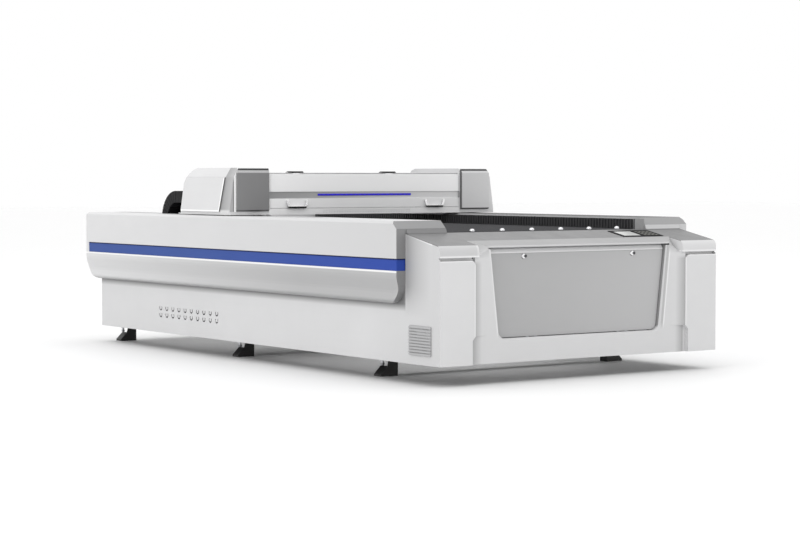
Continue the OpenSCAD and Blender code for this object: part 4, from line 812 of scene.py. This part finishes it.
# Key barrel in the middle of each round lock
keyBarrel = {
    "radius": 0.0085,
    "proud": 0.0022,
    "rim": 0.0022,
    "dish": 0.0012,
    "sunk": 0.0004,                              # how far it stands in the lock
    "slot": (0.0016, 0.0014, 0.0105),
    "slotProud": 0.0002,                         # of the dish's floor
    "sides": 40,
}


def addBarrel(lockName):
    low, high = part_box(lockName)
    halfDepth = keyBarrel["proud"] / 2
    middle = ((low[0] + high[0]) / 2, low[1] - halfDepth + keyBarrel["sunk"], (low[2] + high[2]) / 2)
    bpy.ops.object.select_all(action="DESELECT")
    bpy.ops.mesh.primitive_cylinder_add(
        vertices=keyBarrel["sides"], radius=keyBarrel["radius"], depth=keyBarrel["proud"],
        location=middle, rotation=(math.radians(90), 0, 0))
    barrel = bpy.context.object
    barrel.name = lockName + "Barrel"
    bpy.ops.object.transform_apply(location=False, rotation=True, scale=False)
    selectFaces(barrel, lambda face: face.normal.y < -0.9)
    bpy.ops.mesh.inset(thickness=keyBarrel["rim"], depth=0)
    bpy.ops.mesh.extrude_region_move(TRANSFORM_OT_translate={"value": (0, keyBarrel["dish"], 0)})
    bpy.ops.object.mode_set(mode="OBJECT")
    bpy.ops.object.select_all(action="DESELECT")
    dishFloor = middle[1] - halfDepth + keyBarrel["dish"]
    place = (middle[0], dishFloor + keyBarrel["slotProud"], middle[2])
    bpy.ops.mesh.primitive_cube_add(size=1, location=place)
    tongue = bpy.context.object
    tongue.scale = keyBarrel["slot"]
    bpy.ops.object.transform_apply(location=False, rotation=False, scale=True)
    barrel.select_set(True)
    bpy.context.view_layer.objects.active = barrel
    bpy.ops.object.join()
    wearCoat(barrel, barrelSteel)
    placeInMesh(barrel, body_of(nodes[lockName])[0])


for lockName in ("lock_left", "lock_right"):
    addBarrel(lockName)
print("key barrels in")


studio = {
    "floorNear": (0.86, 0.86, 0.86),
    "floorFar": (0.985, 0.985, 0.985),
    "fade": (3.0, 9.0),                          # painted shade: the floor is darker near the machine and lightens over this distance
    "skyStrength": 1.0,
    "aim": (0, 0, 0.5),
    "lamps": {                                   # place, size and power
        "keyLight": ((-9, -3, 6.5), (5, 4), 120),
        "topLight": ((0.5, 0.0, 9), (9, 9), 260),
    },
}


def studioFloor():
    bpy.ops.object.select_all(action="DESELECT")
    bpy.ops.mesh.primitive_plane_add(size=120, location=(0, 0, 0))
    floor = bpy.context.object
    floor.name = "studioFloor"
    material, tree, shader = newMaterial("paleFloor")
    away = addNode(tree, "ShaderNodeVectorMath", {"operation": "LENGTH"})
    tree.links.new(objectPlace(tree), away.inputs[0])
    fade = rangeOf(tree, away.outputs["Value"], *studio["fade"], 0, 1)
    cloud = noiseOf(tree, objectPlace(tree), 0.8, 3)
    far = blendColours(tree, cloud, shade(studio["floorFar"], 0.99), shade(studio["floorFar"], 1.01))
    toned = blendColours(tree, fade, studio["floorNear"], far)
    tree.links.new(toned, shader.inputs["Base Color"])
    shader.inputs["Roughness"].default_value = 0.6
    wearCoat(floor, material)
    floor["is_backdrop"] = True


def softLight(name, place, size, power):
    bpy.ops.object.light_add(type="AREA", location=place)
    lamp = bpy.context.object
    lamp.name = name
    lamp.data.shape = "RECTANGLE"
    lamp.data.size, lamp.data.size_y = size
    lamp.data.energy = power
    aim = Vector(studio["aim"]) - Vector(place)
    lamp.rotation_euler = aim.to_track_quat("-Z", "Y").to_euler()
    lamp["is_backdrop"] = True


def studioSky():
    world = bpy.data.worlds.new("studioSky")
    bpy.context.scene.world = world
    world.use_nodes = True
    back = world.node_tree.nodes["Background"]
    back.inputs["Color"].default_value = (1, 1, 1, 1)
    back.inputs["Strength"].default_value = studio["skyStrength"]
    bpy.context.scene.view_settings.view_transform = "Standard"


studioFloor()
studioSky()
for lampName, lampFacts in studio["lamps"].items():
    softLight(lampName, *lampFacts)
print("studio set")

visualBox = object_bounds()


def plainNumbers(value):
    return [plainNumbers(v) if hasattr(v, "__len__") else float(v) for v in value]


{"cad": plainNumbers(cadBox), "visual": plainNumbers(visualBox)}
